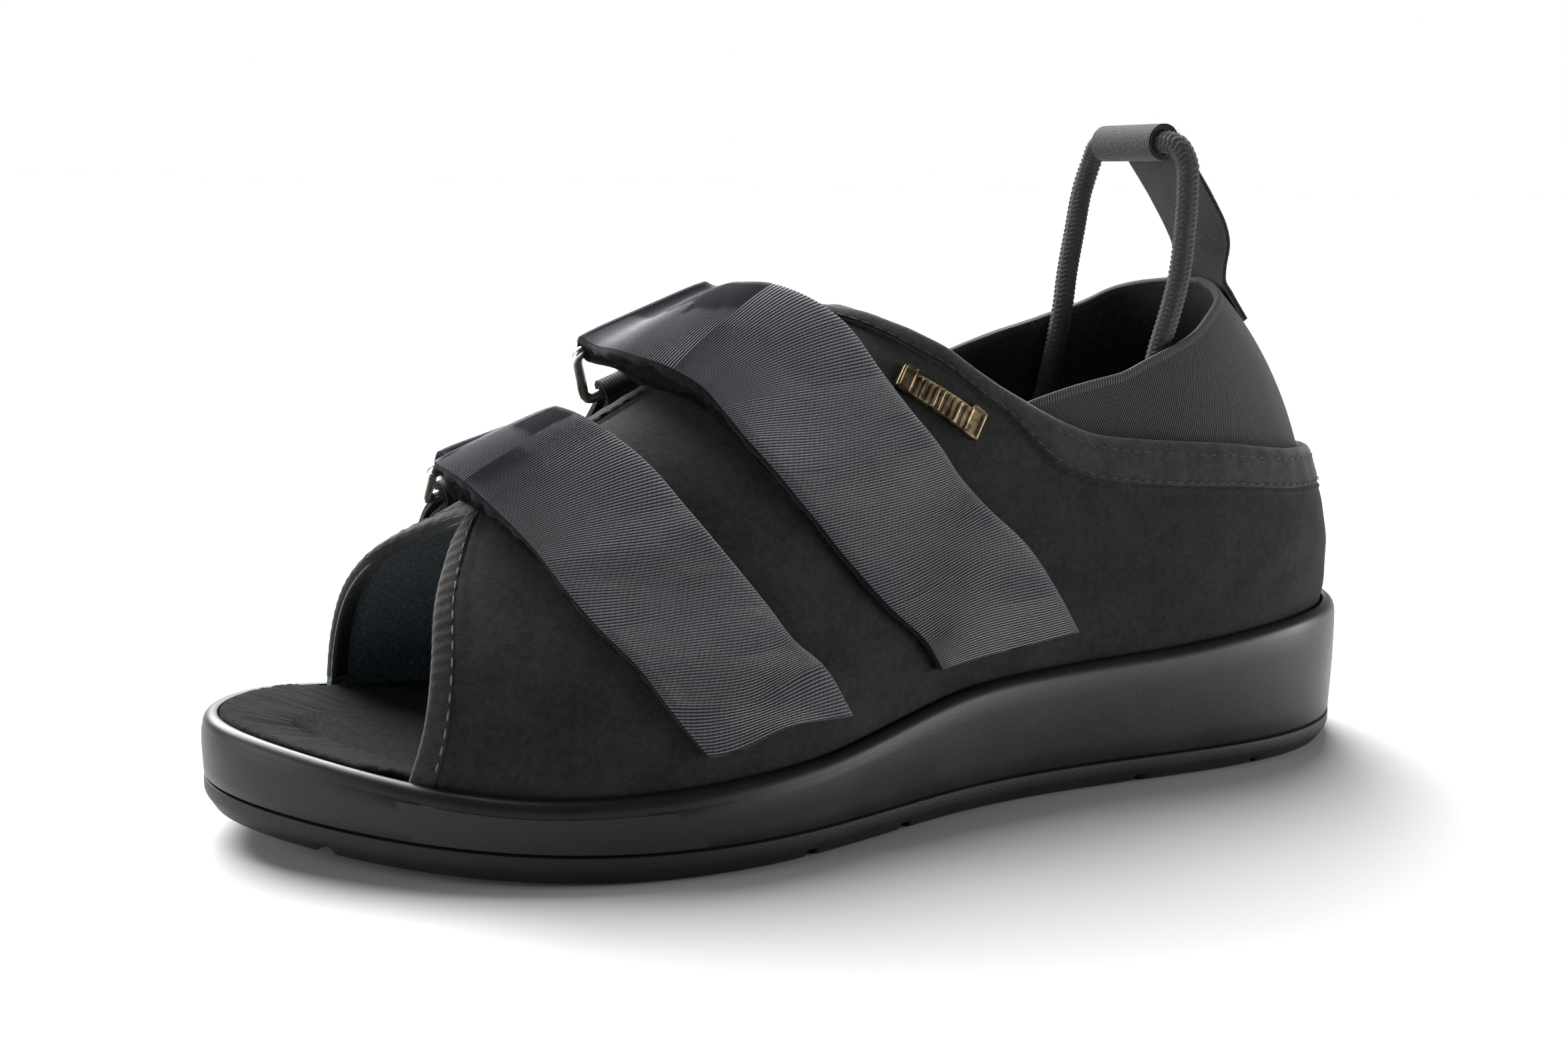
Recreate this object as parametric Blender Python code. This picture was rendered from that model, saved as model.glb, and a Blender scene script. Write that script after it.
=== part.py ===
"""Open-toe lymphedema shoe for the left foot: a wedge sole, a footbed, a suede upper of two
overlapping flaps, an elastic heel band, two straps that turn back through metal rings, and a
pull loop. Metres, +X from heel to toe, +Y to the outer side, +Z up. The origin is on the floor."""
import math

import bpy
import numpy as np

# Driving sizes of the shoe
LENGTH = 0.290
BALL_WIDTH = 0.110
HEEL_WIDTH = 0.0758
HEEL_HEIGHT = 0.0365
FOREPART_HEIGHT = 0.0184
INSTEP_HEIGHT = 0.1125
TOE_SPRING = 0.0071
HEEL_BEVEL = 0.0020

# Sole
OUTSOLE = 0.0066
EDGE_CHAMFER = 0.0032
PARTING = 0.0006
LIP_RADIUS = 0.0030
RIM = 0.0035
RECESS = 0.0036
FEATHER_GAP = 0.0005
GROOVE_WIDTH = 0.0026
GROOVE_DEPTH = 0.0018
GROOVE_DRAFT = 0.0003
GAP = 0.0003

# Footbed
FOOTBED_RISE = 0.0004
FOOTBED_DISH = 0.0012
FOOTBED_EDGE = 0.0008
FOOTBED_BORDER = 0.0050
FOOTBED_FIELD = 0.0150

# Upper
WALL = 0.0020
BULGE = 0.0018
BULGE_HEIGHT = 0.035
HEEL_LEAN = 0.092
BINDING = 0.0055
COLLAR_BAND = 0.0105
BINDING_STEP = 0.0007
FLAP_GAP = 0.0010

# Elastic heel band
ELASTIC = 0.0015
ELASTIC_HEM = 0.010

# Pull loop
TAB_WIDTH = 0.025
TAB_THICKNESS = 0.0014
CORD = 0.0055

# Straps and rings
STRAP_FRONT_WIDTH = 0.0300
STRAP_REAR_WIDTH = 0.0360
STRAP_THICKNESS = 0.0020
RING_WIRE = 0.0028
RING_SLOT = 0.0110
RING_MARGIN = 0.0009
RING_CORNER = 0.0025
RING_TAB = 0.0016

# Badge
BADGE_LENGTH = 0.0226
BADGE_WIDTH = 0.0074
BADGE_THICKNESS = 0.0013
BADGE_CLEAR = 0.0096

# Sole outline: share of the length from the heel, the width that the row follows, and its outer
# and inner reach as shares of half that width
OUTLINE = (
    (0.04, HEEL_WIDTH, 0.66, 0.66),
    (0.14, HEEL_WIDTH, 1.00, 1.00),
    (0.30, HEEL_WIDTH, 1.04, 0.95),
    (0.45, HEEL_WIDTH, 1.15, 0.97),
    (0.60, BALL_WIDTH, 1.01, 0.89),
    (0.72, BALL_WIDTH, 1.03, 0.97),
    (0.84, BALL_WIDTH, 0.83, 0.885),
    (0.95, BALL_WIDTH, 0.405, 0.60),
)
TOE_TIP = -0.042

# Top of the sole: share of the length, share of the rise from forepart to heel, share of the spring
SOLE_TOP = (
    (0.00, 1.000, 0.00),
    (0.05, 1.000, 0.00),
    (0.25, 0.770, 0.00),
    (0.42, 0.625, 0.00),
    (0.60, 0.144, 0.00),
    (0.78, 0.000, 0.00),
    (1.00, 0.000, 1.34),
)
SPRING_FROM = 0.70
BEVEL_TO = 0.06

# Side of the outsole from the tread up: share of its height, inset as a share of the chamfer
OUTSOLE_SIDE = (
    (0.00, 1.00),
    (0.36, 0.22),
    (0.60, 0.00),
)

# Side of the midsole from the parting line up: share of its height, inset as a share of the rim
MIDSOLE_SIDE = (
    (0.00, 0.22),
    (0.04, 0.02),
    (0.45, -0.06),
    (0.80, 0.02),
)
LIP_START = 0.06
LIP_END = 0.80

# Grooves across the tread, as shares of the length
GROOVES = (0.154, 0.274, 0.507, 0.597, 0.928)

# Last: share of the length, ridge height as a share of the instep, fullness of each side
LAST = (
    (0.00, 1.275, 2.0, 2.0),
    (0.10, 1.272, 2.0, 2.0),
    (0.20, 1.258, 2.0, 2.0),
    (0.30, 1.215, 2.0, 2.0),
    (0.40, 1.125, 2.0, 2.0),
    (0.47, 1.055, 2.0, 2.0),
    (0.53, 1.000, 2.0, 2.0),
    (0.60, 0.920, 2.0, 2.0),
    (0.65, 0.853, 2.0, 2.1),
    (0.70, 0.782, 2.0, 2.2),
    (0.75, 0.708, 2.0, 2.4),
    (0.81, 0.613, 2.0, 2.7),
    (0.85, 0.548, 2.1, 2.9),
    (0.90, 0.470, 2.1, 2.9),
    (1.00, 0.330, 2.1, 2.9),
)
LEAN_TO = 0.293

# Toe opening: angle up the rib, share of the length at the outer and at the inner flap
TOE_EDGE = (
    (0, 0.879, 0.891),
    (20, 0.866, 0.884),
    (38, 0.857, 0.876),
    (50, 0.851, 0.866),
    (60, 0.843, 0.852),
    (68, 0.834, 0.836),
    (76, 0.823, 0.820),
    (84, 0.806, 0.808),
    (95, 0.790, 0.797),
    (115, 0.785, 0.790),
)

# Top edge of each flap: share of the side from heel to toe opening, angle round the rib
OUTER_EDGE = (
    (0.000, 22.6), (0.139, 24.0), (0.230, 26.4), (0.306, 28.4), (0.379, 31.3),
    (0.412, 34.5), (0.445, 39.3), (0.483, 46.5), (0.515, 55.2), (0.556, 66.7),
    (0.594, 80.0), (0.613, 88.0), (0.650, 94.0), (1.000, 94.0),
)
INNER_EDGE = (
    (0.000, 22.6), (0.139, 24.2), (0.230, 27.0), (0.306, 29.8), (0.379, 34.0),
    (0.412, 37.5), (0.445, 42.5), (0.483, 51.0), (0.515, 60.0), (0.556, 74.0),
    (0.594, 92.0), (0.613, 102.0), (0.650, 111.0), (1.000, 113.0),
)

# Columns along a side of the upper: share where a stretch ends, columns in it
STRETCHES = ((0.40, 13), (0.64, 11), (0.93, 8), (1.00, 2))
UPPER_ROWS = 11
STRAP_ROWS = (0.0, 0.25, 0.5, 0.75, 1.0)

# Top edge of the elastic: share of the side, angle on the outer and on the inner side
ELASTIC_TOP = (
    (0.00, 52.3, 52.3), (0.05, 51.0, 52.0), (0.10, 49.0, 51.2), (0.18, 45.9, 49.2), (0.23, 43.6, 47.8),
    (0.27, 42.2, 47.0), (0.31, 41.0, 46.6), (0.35, 39.6, 46.0), (0.45, 39.3, 44.4), (0.50, 39.0, 43.5),
)
ELASTIC_REACH = 0.49

# Strap lines on the skin: angle round the rib, share of the length at the strap's centre
FRONT_LINE = ((0, 0.610), (8, 0.629), (15, 0.652), (26, 0.678), (40, 0.711), (57, 0.734), (76, 0.754),
              (90, 0.762), (120, 0.766), (160, 0.768))
REAR_LINE = ((0, 0.386), (5, 0.405), (15, 0.440), (25, 0.4865), (38, 0.528), (51, 0.560), (67, 0.581),
             (90, 0.612), (120, 0.626), (160, 0.630))

# Each strap: angle of its free end, metres by which that end slides along the strap for each metre
# across, heights over the ridge at its toe edge and at its heel edge, lean of its ring from the bar
# down to the tab, toe and heel end of the bar as shares of the length, half the ball's width and instep
FRONT_CREST = 0.0112, 0.0066
REAR_CREST = 0.0112, 0.0102
FRONT = (11.8, -0.515, FRONT_CREST, (0.10, -0.72, -0.68), (0.3086, -0.4455, 0.6667), (0.1983, -0.5727, 0.7422))
REAR = (6.9, -0.483, REAR_CREST, (0.12, -0.34, -0.93), (0.1862, -0.4455, 0.8996), (0.0672, -0.5091, 1.0160))
SLANT_FROM = 0.45
SLANT_RUN = 0.50

# Layers of a strap. Lower one: share of the way from the free end to the ridge, height of its middle
# in strap thicknesses. Upper one from the ridge back: the same share, share of the height over the
# ridge. Its end beyond the lower layer: the same share, height in strap thicknesses
LOWER_LAYER = ((0.53, 0.76), (0.65, 0.76), (0.77, 0.82), (0.88, 1.20), (0.98, 1.65))
LOWER_BOW = 0.0014
LAYER_HIGH = 1.98
UPPER_LAYER = (
    (1.00, 1.00), (0.90, 0.80), (0.80, 0.53), (0.70, 0.27), (0.61, 0.08), (0.53, 0.00),
)
END_LAYER = ((0.44, 1.05), (0.34, 0.78), (0.22, 0.76), (0.11, 0.76), (0.00, 0.76))
BAR_TURN = (-72, -115, -155, 165, 125, 88, 62)

# Tab of a ring: angle round the rib of its sewn end, height of its middle there, bow halfway
TAB_START = 142
TAB_LIFT = 0.0013
TAB_SHARE = 0.86
TAB_BOW = 0.0008

# Badge: angle round the rib of its centre, slope of its long side
BADGE_ANGLE = 45.7
BADGE_SLOPE = 0.97

# Pull tab in the middle plane: x as a share of the length from the middle, height as a share of
# the instep; the first rows lie on the elastic and the last ones turn round the cord
TAB_LINE = (
    (-0.3610, 1.084), (-0.3572, 1.129), (-0.3493, 1.169), (-0.3379, 1.213), (-0.3224, 1.267),
    (-0.3110, 1.303),
)
TAB_TOP = (-0.2807, 1.350)
TAB_FOOT = (43.5, 46.0, 48.5, 51.0)

# Pull cord, chosen points: x, y, z
CORD_ROUTE = (
    (-0.0679, -0.0224, 0.0695), (-0.0692, -0.0210, 0.0787), (-0.0704, -0.0188, 0.0888),
    (-0.0710, -0.0162, 0.0994), (-0.0722, -0.0152, 0.1096), (-0.0745, -0.0172, 0.1193),
    (-0.0776, -0.0194, 0.1297), (-0.0806, -0.0212, 0.1403), (-0.0824, -0.0206, 0.1470),
    (-0.0820, -0.0174, 0.1510), (-0.0814, -0.0136, 0.1519), (-0.0814, -0.0100, 0.1519),
    (-0.0814, 0.0100, 0.1519), (-0.0814, 0.0136, 0.1519), (-0.0820, 0.0172, 0.1510), (-0.0828, 0.0202, 0.1468),
    (-0.0830, 0.0208, 0.1400), (-0.0828, 0.0208, 0.1300), (-0.0822, 0.0206, 0.1210),
    (-0.0806, 0.0200, 0.1120), (-0.0785, 0.0192, 0.1030), (-0.0762, 0.0194, 0.0940),
    (-0.0738, 0.0212, 0.0830), (-0.0718, 0.0226, 0.0720),
)


# Curves

def monotone(rows, column):
    """Smooth function through one column of a table, with no overshoot."""
    xs = np.array([row[0] for row in rows], float)
    ys = np.array([row[column] for row in rows], float)
    step = np.diff(xs)
    slope = np.diff(ys) / step
    tangent = np.empty(len(xs))
    tangent[0], tangent[-1] = slope[0], slope[-1]
    for k in range(1, len(xs) - 1):
        if slope[k - 1] * slope[k] > 0:
            before = 2 * step[k] + step[k - 1]
            after = step[k] + 2 * step[k - 1]
            tangent[k] = (before + after) / (before / slope[k - 1] + after / slope[k])
        else:
            tangent[k] = 0

    def value(x):
        x = np.clip(x, xs[0], xs[-1])
        k = np.clip(np.searchsorted(xs, x, side="right") - 1, 0, len(xs) - 2)
        t = (x - xs[k]) / step[k]
        return ((1 + 2 * t) * (1 - t) ** 2 * ys[k] + t * (1 - t) ** 2 * step[k] * tangent[k]
                + t * t * (3 - 2 * t) * ys[k + 1] + t * t * (t - 1) * step[k] * tangent[k + 1])

    return value


def closed_spline(points, count):
    """Points of a smooth closed curve through the given ones."""
    points = np.array(points, float)
    total = len(points)
    ring = np.vstack([points, points[:1]])
    chord = np.sqrt(np.linalg.norm(np.diff(ring, axis=0), axis=1))
    knots = np.concatenate([[0], np.cumsum(chord)])
    matrix = np.zeros((total, total))
    right = np.zeros((total, 2))
    for k in range(total):
        before = (k - 1) % total
        matrix[k, before] += chord[before]
        matrix[k, k] += 2 * (chord[before] + chord[k])
        matrix[k, (k + 1) % total] += chord[k]
        right[k] = 6 * ((ring[k + 1] - ring[k]) / chord[k] - (ring[k] - ring[before]) / chord[before])
    bend = np.linalg.solve(matrix, right)
    bend = np.vstack([bend, bend[:1]])
    t = np.linspace(0, knots[-1], count, endpoint=False)
    k = np.clip(np.searchsorted(knots, t, side="right") - 1, 0, total - 1)
    a = (knots[k + 1] - t)[:, None]
    b = (t - knots[k])[:, None]
    h = chord[k][:, None]
    return ((bend[k] * a ** 3 + bend[k + 1] * b ** 3) / (6 * h)
            + (ring[k] / h - bend[k] * h / 6) * a + (ring[k + 1] / h - bend[k + 1] * h / 6) * b)


def walked(points):
    return np.concatenate([[0], np.cumsum(np.linalg.norm(np.diff(points, axis=0), axis=1))])


def through(points, parts):
    """Smooth open curve through the given points, each stretch cut into as many parts."""
    points = np.array(points, float)
    step = np.linalg.norm(np.diff(points, axis=0), axis=1)[:, None]
    slope = np.diff(points, axis=0) / step
    tangent = np.vstack([slope[:1], (slope[:-1] * step[1:] + slope[1:] * step[:-1]) / (step[1:] + step[:-1]),
                         slope[-1:]])
    curve = []
    for k in range(len(points) - 1):
        for t in np.linspace(0, 1, parts, endpoint=False):
            curve.append((1 + 2 * t) * (1 - t) ** 2 * points[k] + t * t * (3 - 2 * t) * points[k + 1]
                         + t * (1 - t) * step[k] * ((1 - t) * tangent[k] - t * tangent[k + 1]))
    return np.array(curve + [points[-1]])


def open_curve(points, count):
    """Evenly spaced points of a smooth open curve through the given ones."""
    fine = through(points, 16)
    length = walked(fine)
    even = np.linspace(0, length[-1], count)
    return np.stack([np.interp(even, length, fine[:, axis]) for axis in range(fine.shape[1])], 1)


def smooth(t):
    """Soft step from 0 to 1."""
    t = np.clip(t, 0, 1)
    return t * t * (3 - 2 * t)


# Sole outline and heights

def share_of(x):
    return x / LENGTH + 0.5


def at_share(share):
    return (share - 0.5) * LENGTH


def outline_points():
    outer = [(at_share(share), width / 2 * reach) for share, width, reach, _ in OUTLINE]
    inner = [(at_share(share), -width / 2 * reach) for share, width, _, reach in OUTLINE]
    tips = [(-LENGTH / 2, 0.0)], [(LENGTH / 2, TOE_TIP * BALL_WIDTH)]
    return closed_spline(tips[0] + outer + tips[1] + inner[::-1], 960)


OUTLINE_LOOP = outline_points()


def inset_outline(distance):
    """The sole's outline moved inwards, from the heel round the outer side to the toe and back."""
    ahead = np.roll(OUTLINE_LOOP, -1, axis=0) - np.roll(OUTLINE_LOOP, 1, axis=0)
    ahead /= np.linalg.norm(ahead, axis=1)[:, None]
    outwards = np.stack([-ahead[:, 1], ahead[:, 0]], 1)
    return OUTLINE_LOOP - outwards * np.reshape(distance, (-1, 1))


def halves(loop):
    """The outer and inner half of a loop, each from the heel's back to the toe's tip."""
    heel = loop[:, 0].argmin()
    turned = np.roll(loop, -heel, axis=0)
    toe = turned[:, 0].argmax()
    return turned[:toe + 1], np.vstack([turned[toe:], turned[:1]])[::-1]


def ring_points(loop, stations):
    """A loop's points at stations given as shares of its length, up the outer side and back down the
    inner one, so that each point faces one across the sole."""
    outer, inner = halves(loop)
    x = outer[0, 0] + np.array(stations) * (outer[-1, 0] - outer[0, 0])
    near = np.column_stack([x, np.interp(x, outer[:, 0], outer[:, 1])])
    far = np.column_stack([x, np.interp(x, inner[:, 0], inner[:, 1])])
    return np.vstack([near, far[::-1]])


sole_rise = monotone(SOLE_TOP, 1)
sole_spring = monotone(SOLE_TOP, 2)


def sole_top(x):
    share = share_of(x)
    return (FOREPART_HEIGHT + sole_rise(share) * (HEEL_HEIGHT - FOREPART_HEIGHT)
            + sole_spring(share) * TOE_SPRING)


def ground_clear(x):
    """Height of the sole's underside: flat, sprung at the toe and bevelled at the heel."""
    share = share_of(x)
    toe = np.clip((share - SPRING_FROM) / (1 - SPRING_FROM), 0, 1)
    heel = np.clip((BEVEL_TO - share) / BEVEL_TO, 0, 1)
    return TOE_SPRING * toe ** 2 + HEEL_BEVEL * heel ** 2


# Skin of the last, over which the upper and all that lies on it are laid

WAY_STEP = 0.002
ANGLE_STEP = 0.03

FEATHER = halves(inset_outline(RIM + FEATHER_GAP))
FEATHER_LENGTH = walked(FEATHER[0]), walked(FEATHER[1])
ridge_share = monotone(LAST, 1)
fullness = monotone(LAST, 2), monotone(LAST, 3)
toe_edge = monotone(TOE_EDGE, 1), monotone(TOE_EDGE, 2)
flap_edge = monotone(OUTER_EDGE, 1), monotone(INNER_EDGE, 1)
OUTER, INNER = 0, 1


def way_to(side, x):
    """Length along a side of the feather line from the heel's back to a place x."""
    return np.interp(x, FEATHER[side][:, 0], FEATHER_LENGTH[side])


def skin(side, way, angle):
    """Point of the skin: way along the feather line, angle in radians up the rib, past a right
    angle down the other side."""
    near, far = FEATHER[side], FEATHER[1 - side]
    base_x = np.interp(way, FEATHER_LENGTH[side], near[:, 0])
    base_y = np.interp(way, FEATHER_LENGTH[side], near[:, 1])
    far_y = np.interp(base_x, far[:, 0], far[:, 1])
    lean = HEEL_LEAN * smooth((LEAN_TO - share_of(base_x)) / LEAN_TO)
    centre = base_x + lean
    floor = sole_top(base_x) - RECESS + GAP
    height = ridge_share(share_of(base_x)) * INSTEP_HEIGHT - floor
    across = np.cos(angle)
    own = across >= 0
    power = np.where(own, fullness[side](share_of(base_x)), fullness[1 - side](share_of(base_x)))
    reach = np.abs(across) ** (2 / power)
    rise = height * np.abs(np.sin(angle)) ** (2 / power)
    x = np.where(own, centre + (base_x - centre) * reach, centre)
    y = np.where(own, base_y * reach, far_y * reach)
    swell = np.where(own, BULGE * np.sin(np.pi * np.clip((rise - RECESS) / BULGE_HEIGHT, 0, 1)), 0)
    out_x, out_y = base_x - centre, base_y
    size = np.hypot(out_x, out_y)
    return np.stack([x + swell * out_x / size, y + swell * out_y / size, floor + rise], -1)


def slopes(side, way, angle):
    """Change of the skin's point for each metre of way and for each radian up the rib."""
    low = np.maximum(way - WAY_STEP, 0)
    along = skin(side, low + 2 * WAY_STEP, angle) - skin(side, low, angle)
    low = np.maximum(angle - ANGLE_STEP, 0)
    up = skin(side, way, low + 2 * ANGLE_STEP) - skin(side, way, low)
    return along / (2 * WAY_STEP), up / (2 * ANGLE_STEP)


def normal(side, way, angle):
    """Outward direction of the skin."""
    along, up = slopes(side, way, angle)
    out = np.cross(up, along) if side == OUTER else np.cross(along, up)
    return out / np.linalg.norm(out, axis=-1, keepdims=True)


def change_for(way, angle, move):
    """Change of way and angle on the outer side that makes a small move along the skin."""
    return np.linalg.lstsq(np.stack(slopes(OUTER, way, angle), 1), move, rcond=None)[0]


def raised(side, way, angle, lift):
    """Point over the skin."""
    way, angle, lift = np.broadcast_arrays(np.asarray(way, float), angle, lift)
    return skin(side, way, angle) + normal(side, way, angle) * lift[..., None]


def front_way(side, angle):
    """Way to the toe opening at a height up the rib."""
    return way_to(side, at_share(toe_edge[side](np.degrees(angle))))


def side_way(side, share, angle):
    """Way of a column, which leans with the toe opening's edge near it."""
    base = front_way(side, 0.0)
    follow = smooth((share - 0.62) / 0.38)
    return share * base + follow * (front_way(side, angle) - base) * share


# Mesh helpers

def material(name, colour, roughness, metallic=0.0):
    made = bpy.data.materials.new(name)
    made.use_nodes = True
    shader = made.node_tree.nodes["Principled BSDF"]
    shader.inputs["Base Color"].default_value = (*colour, 1)
    shader.inputs["Roughness"].default_value = roughness
    shader.inputs["Metallic"].default_value = metallic
    return made


def solid(name, vertices, faces, finish, sharp=35):
    """One closed object with its faces pointing out."""
    mesh = bpy.data.meshes.new(name)
    mesh.from_pydata([tuple(float(value) for value in vertex) for vertex in vertices], [], faces)
    mesh.validate()
    flat = np.array([vertex.co[:] for vertex in mesh.vertices])
    volume = 0.0
    for face in mesh.polygons:
        corners = [flat[index] for index in face.vertices]
        for k in range(1, len(corners) - 1):
            volume += np.dot(corners[0], np.cross(corners[k], corners[k + 1]))
    if volume < 0:
        mesh.flip_normals()
    mesh.shade_smooth()
    mesh.set_sharp_from_angle(angle=math.radians(sharp))
    mesh.materials.append(finish)
    made = bpy.data.objects.new(name, mesh)
    bpy.context.scene.collection.objects.link(made)
    return made


def stacked(name, loops, finish, sharp=35):
    """Solid through closed loops; each end is closed across its facing points."""
    loops = np.asarray(loops)
    rows, count = loops.shape[:2]
    faces = []
    for row in range(rows - 1):
        for k in range(count):
            after = (k + 1) % count
            faces.append((row * count + k, row * count + after,
                          (row + 1) * count + after, (row + 1) * count + k))
    for row, order in ((0, 1), (rows - 1, -1)):
        for k in range(count // 2 - 1):
            face = [row * count + index for index in (k, count - 1 - k, count - 2 - k, k + 1)]
            faces.append(tuple(face[::order]))
    return solid(name, loops.reshape(-1, 3), faces, finish, sharp)


def shell(name, outside, inside, finish, sharp=35):
    """Solid between two grids of the same size, closed all round its edge."""
    rows, count = outside.shape[:2]
    total = rows * count
    faces = []
    for row in range(rows - 1):
        for k in range(count - 1):
            here = row * count + k
            face = (here, here + 1, here + count + 1, here + count)
            faces.append(face)
            faces.append(tuple(index + total for index in face[::-1]))
    border = ([k for k in range(count)] + [row * count + count - 1 for row in range(1, rows)]
              + [(rows - 1) * count + k for k in range(count - 2, -1, -1)]
              + [row * count for row in range(rows - 2, 0, -1)])
    for k, here in enumerate(border):
        after = border[(k + 1) % len(border)]
        faces.append((after, here, here + total, after + total))
    return solid(name, np.vstack([outside.reshape(-1, 3), inside.reshape(-1, 3)]), faces, finish, sharp)


def thick_line(line, thickness):
    """Closed profile of a flat line: out along one face and back along the other."""
    ahead = np.gradient(line, axis=0)
    ahead /= np.linalg.norm(ahead, axis=1)[:, None]
    across = np.stack([-ahead[:, 1], ahead[:, 0]], 1) * thickness / 2
    return np.vstack([line + across, (line - across)[::-1]])


def ribbon(name, lines, thickness, finish):
    """Band of even thickness through lines that run side by side."""
    lines = np.array(lines)
    out = np.cross(np.gradient(lines, axis=1), np.gradient(lines, axis=0))
    out *= thickness / 2 / np.linalg.norm(out, axis=2, keepdims=True)
    return stacked(name, np.concatenate([lines + out, (lines - out)[:, ::-1]], axis=1), finish, 45)


def pipe(name, path, radius, sides, finish, closed=False):
    """Round rod along a path."""
    path = np.asarray(path)
    ahead = np.roll(path, -1, 0) - np.roll(path, 1, 0) if closed else np.gradient(path, axis=0)
    ahead /= np.linalg.norm(ahead, axis=1)[:, None]
    across = np.cross(ahead[0], (0.3, 0.2, 0.9))
    loops = []
    for point, direction in zip(path, ahead):
        across = across - direction * np.dot(across, direction)
        across /= np.linalg.norm(across)
        other = np.cross(direction, across)
        turn = 2 * math.pi * (np.arange(sides) + 0.5) / sides
        loops.append(point + radius * (np.cos(turn)[:, None] * across + np.sin(turn)[:, None] * other))
    if not closed:
        return stacked(name, loops, finish, 50)
    loops = np.array(loops)
    count = len(loops)
    faces = []
    for row in range(count):
        ring = (row + 1) % count
        for k in range(sides):
            after = (k + 1) % sides
            faces.append((row * sides + k, row * sides + after, ring * sides + after, ring * sides + k))
    return solid(name, loops.reshape(-1, 3), faces, finish, 60)


# Sole

SIDE_POINTS = 42
EVEN = tuple(0.5 - 0.5 * math.cos(math.pi * (k + 0.5) / SIDE_POINTS) for k in range(SIDE_POINTS))


def groove_stations():
    """Stations of the tread with the rise at each: the even ones, and four for each groove."""
    half, draft = GROOVE_WIDTH / 2 / LENGTH, GROOVE_DRAFT / LENGTH
    clear = [share for share in EVEN if all(abs(share - groove) > 2 * half for groove in GROOVES)]
    stations = [(share, 0.0) for share in clear]
    for groove in GROOVES:
        stations += [(groove - half, 0.0), (groove - half + draft, GROOVE_DEPTH),
                     (groove + half - draft, GROOVE_DEPTH), (groove + half, 0.0)]
    return zip(*sorted(stations))


def sole_loop(inset, height, stations=EVEN):
    """Loop of the sole at an inset; height is a function of x."""
    flat = ring_points(inset_outline(np.full(len(OUTLINE_LOOP), inset)), stations)
    return np.column_stack([flat, height(flat[:, 0])])


def build_outsole(finish):
    stations, rise = groove_stations()
    loops = [sole_loop(inset * EDGE_CHAMFER, lambda x, up=up: ground_clear(x) + up * OUTSOLE, stations)
             for up, inset in OUTSOLE_SIDE]
    loops[0][:, 2] += np.concatenate([rise, rise[::-1]])
    loops.append(sole_loop(0.0, lambda x: ground_clear(x) + OUTSOLE - PARTING, stations))
    loops.append(sole_loop(PARTING, lambda x: ground_clear(x) + OUTSOLE, stations))
    return stacked("outsole", loops, finish, 25)


def build_midsole(finish):
    def foot(x):
        return ground_clear(x) + OUTSOLE + GAP

    loops = [sole_loop(share * RIM, lambda x, up=up: foot(x) + up * (sole_top(x) - foot(x)))
             for up, share in MIDSOLE_SIDE]
    for turn in (0.0, 0.5, 1.0):
        inset = RIM * (LIP_START + (LIP_END - LIP_START) * (1 - math.cos(turn * math.pi / 2)))
        drop = LIP_RADIUS * (1 - math.sin(turn * math.pi / 2))
        loops.append(sole_loop(inset, lambda x, drop=drop: sole_top(x) - drop))
    loops.append(sole_loop(RIM, lambda x: sole_top(x) - GAP))
    loops.append(sole_loop(RIM, lambda x: sole_top(x) - RECESS))
    return stacked("midsole", loops, finish, 30)


def build_insole(finish):
    """Footbed, narrower where the upper's wall stands beside it."""
    x = OUTLINE_LOOP[:, 0]
    outer_side = OUTLINE_LOOP[:, 1] > TOE_TIP * BALL_WIDTH
    front = np.where(outer_side, at_share(TOE_EDGE[0][1]), at_share(TOE_EDGE[0][2]))
    open_toe = smooth((x - front - GAP) / (2 * WALL + RIM) - 0.5)
    beside = RIM + GAP + (1 - open_toe) * (WALL + 2 * GAP)

    def footbed_loop(extra, height):
        flat = ring_points(inset_outline(beside + extra), EVEN)
        return np.column_stack([flat, height(flat[:, 0])])

    def bottom(x):
        return sole_top(x) - RECESS + GAP

    loops = [
        footbed_loop(0.0, bottom),
        footbed_loop(0.0, lambda x: sole_top(x) - GAP),
        footbed_loop(FOOTBED_EDGE, lambda x: sole_top(x) + FOOTBED_RISE),
        footbed_loop(FOOTBED_BORDER, lambda x: sole_top(x) + FOOTBED_RISE / 2),
        footbed_loop(FOOTBED_FIELD, lambda x: sole_top(x) - FOOTBED_DISH),
    ]
    return stacked("insole", loops, finish, 40)


# Upper

def columns():
    """Shares of the columns along one side, heel to toe opening."""
    shares = [0.0]
    for end, count in STRETCHES:
        start = shares[-1]
        shares += [start + (end - start) * (k + 1) / count for k in range(count)]
    return shares


def rib_walk(side, share):
    """Angles up a column of the upper and the length walked at each."""
    angles = np.linspace(0, math.radians(float(flap_edge[side](share))), 90)
    points = skin(side, side_way(side, share, angles), angles)
    return angles, walked(points)


def sink(side, angle):
    """Depth by which the inner flap passes under the outer one."""
    return (WALL + FLAP_GAP) * smooth((np.degrees(angle) - 52) / 28) if side == INNER else 0 * angle


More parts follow.
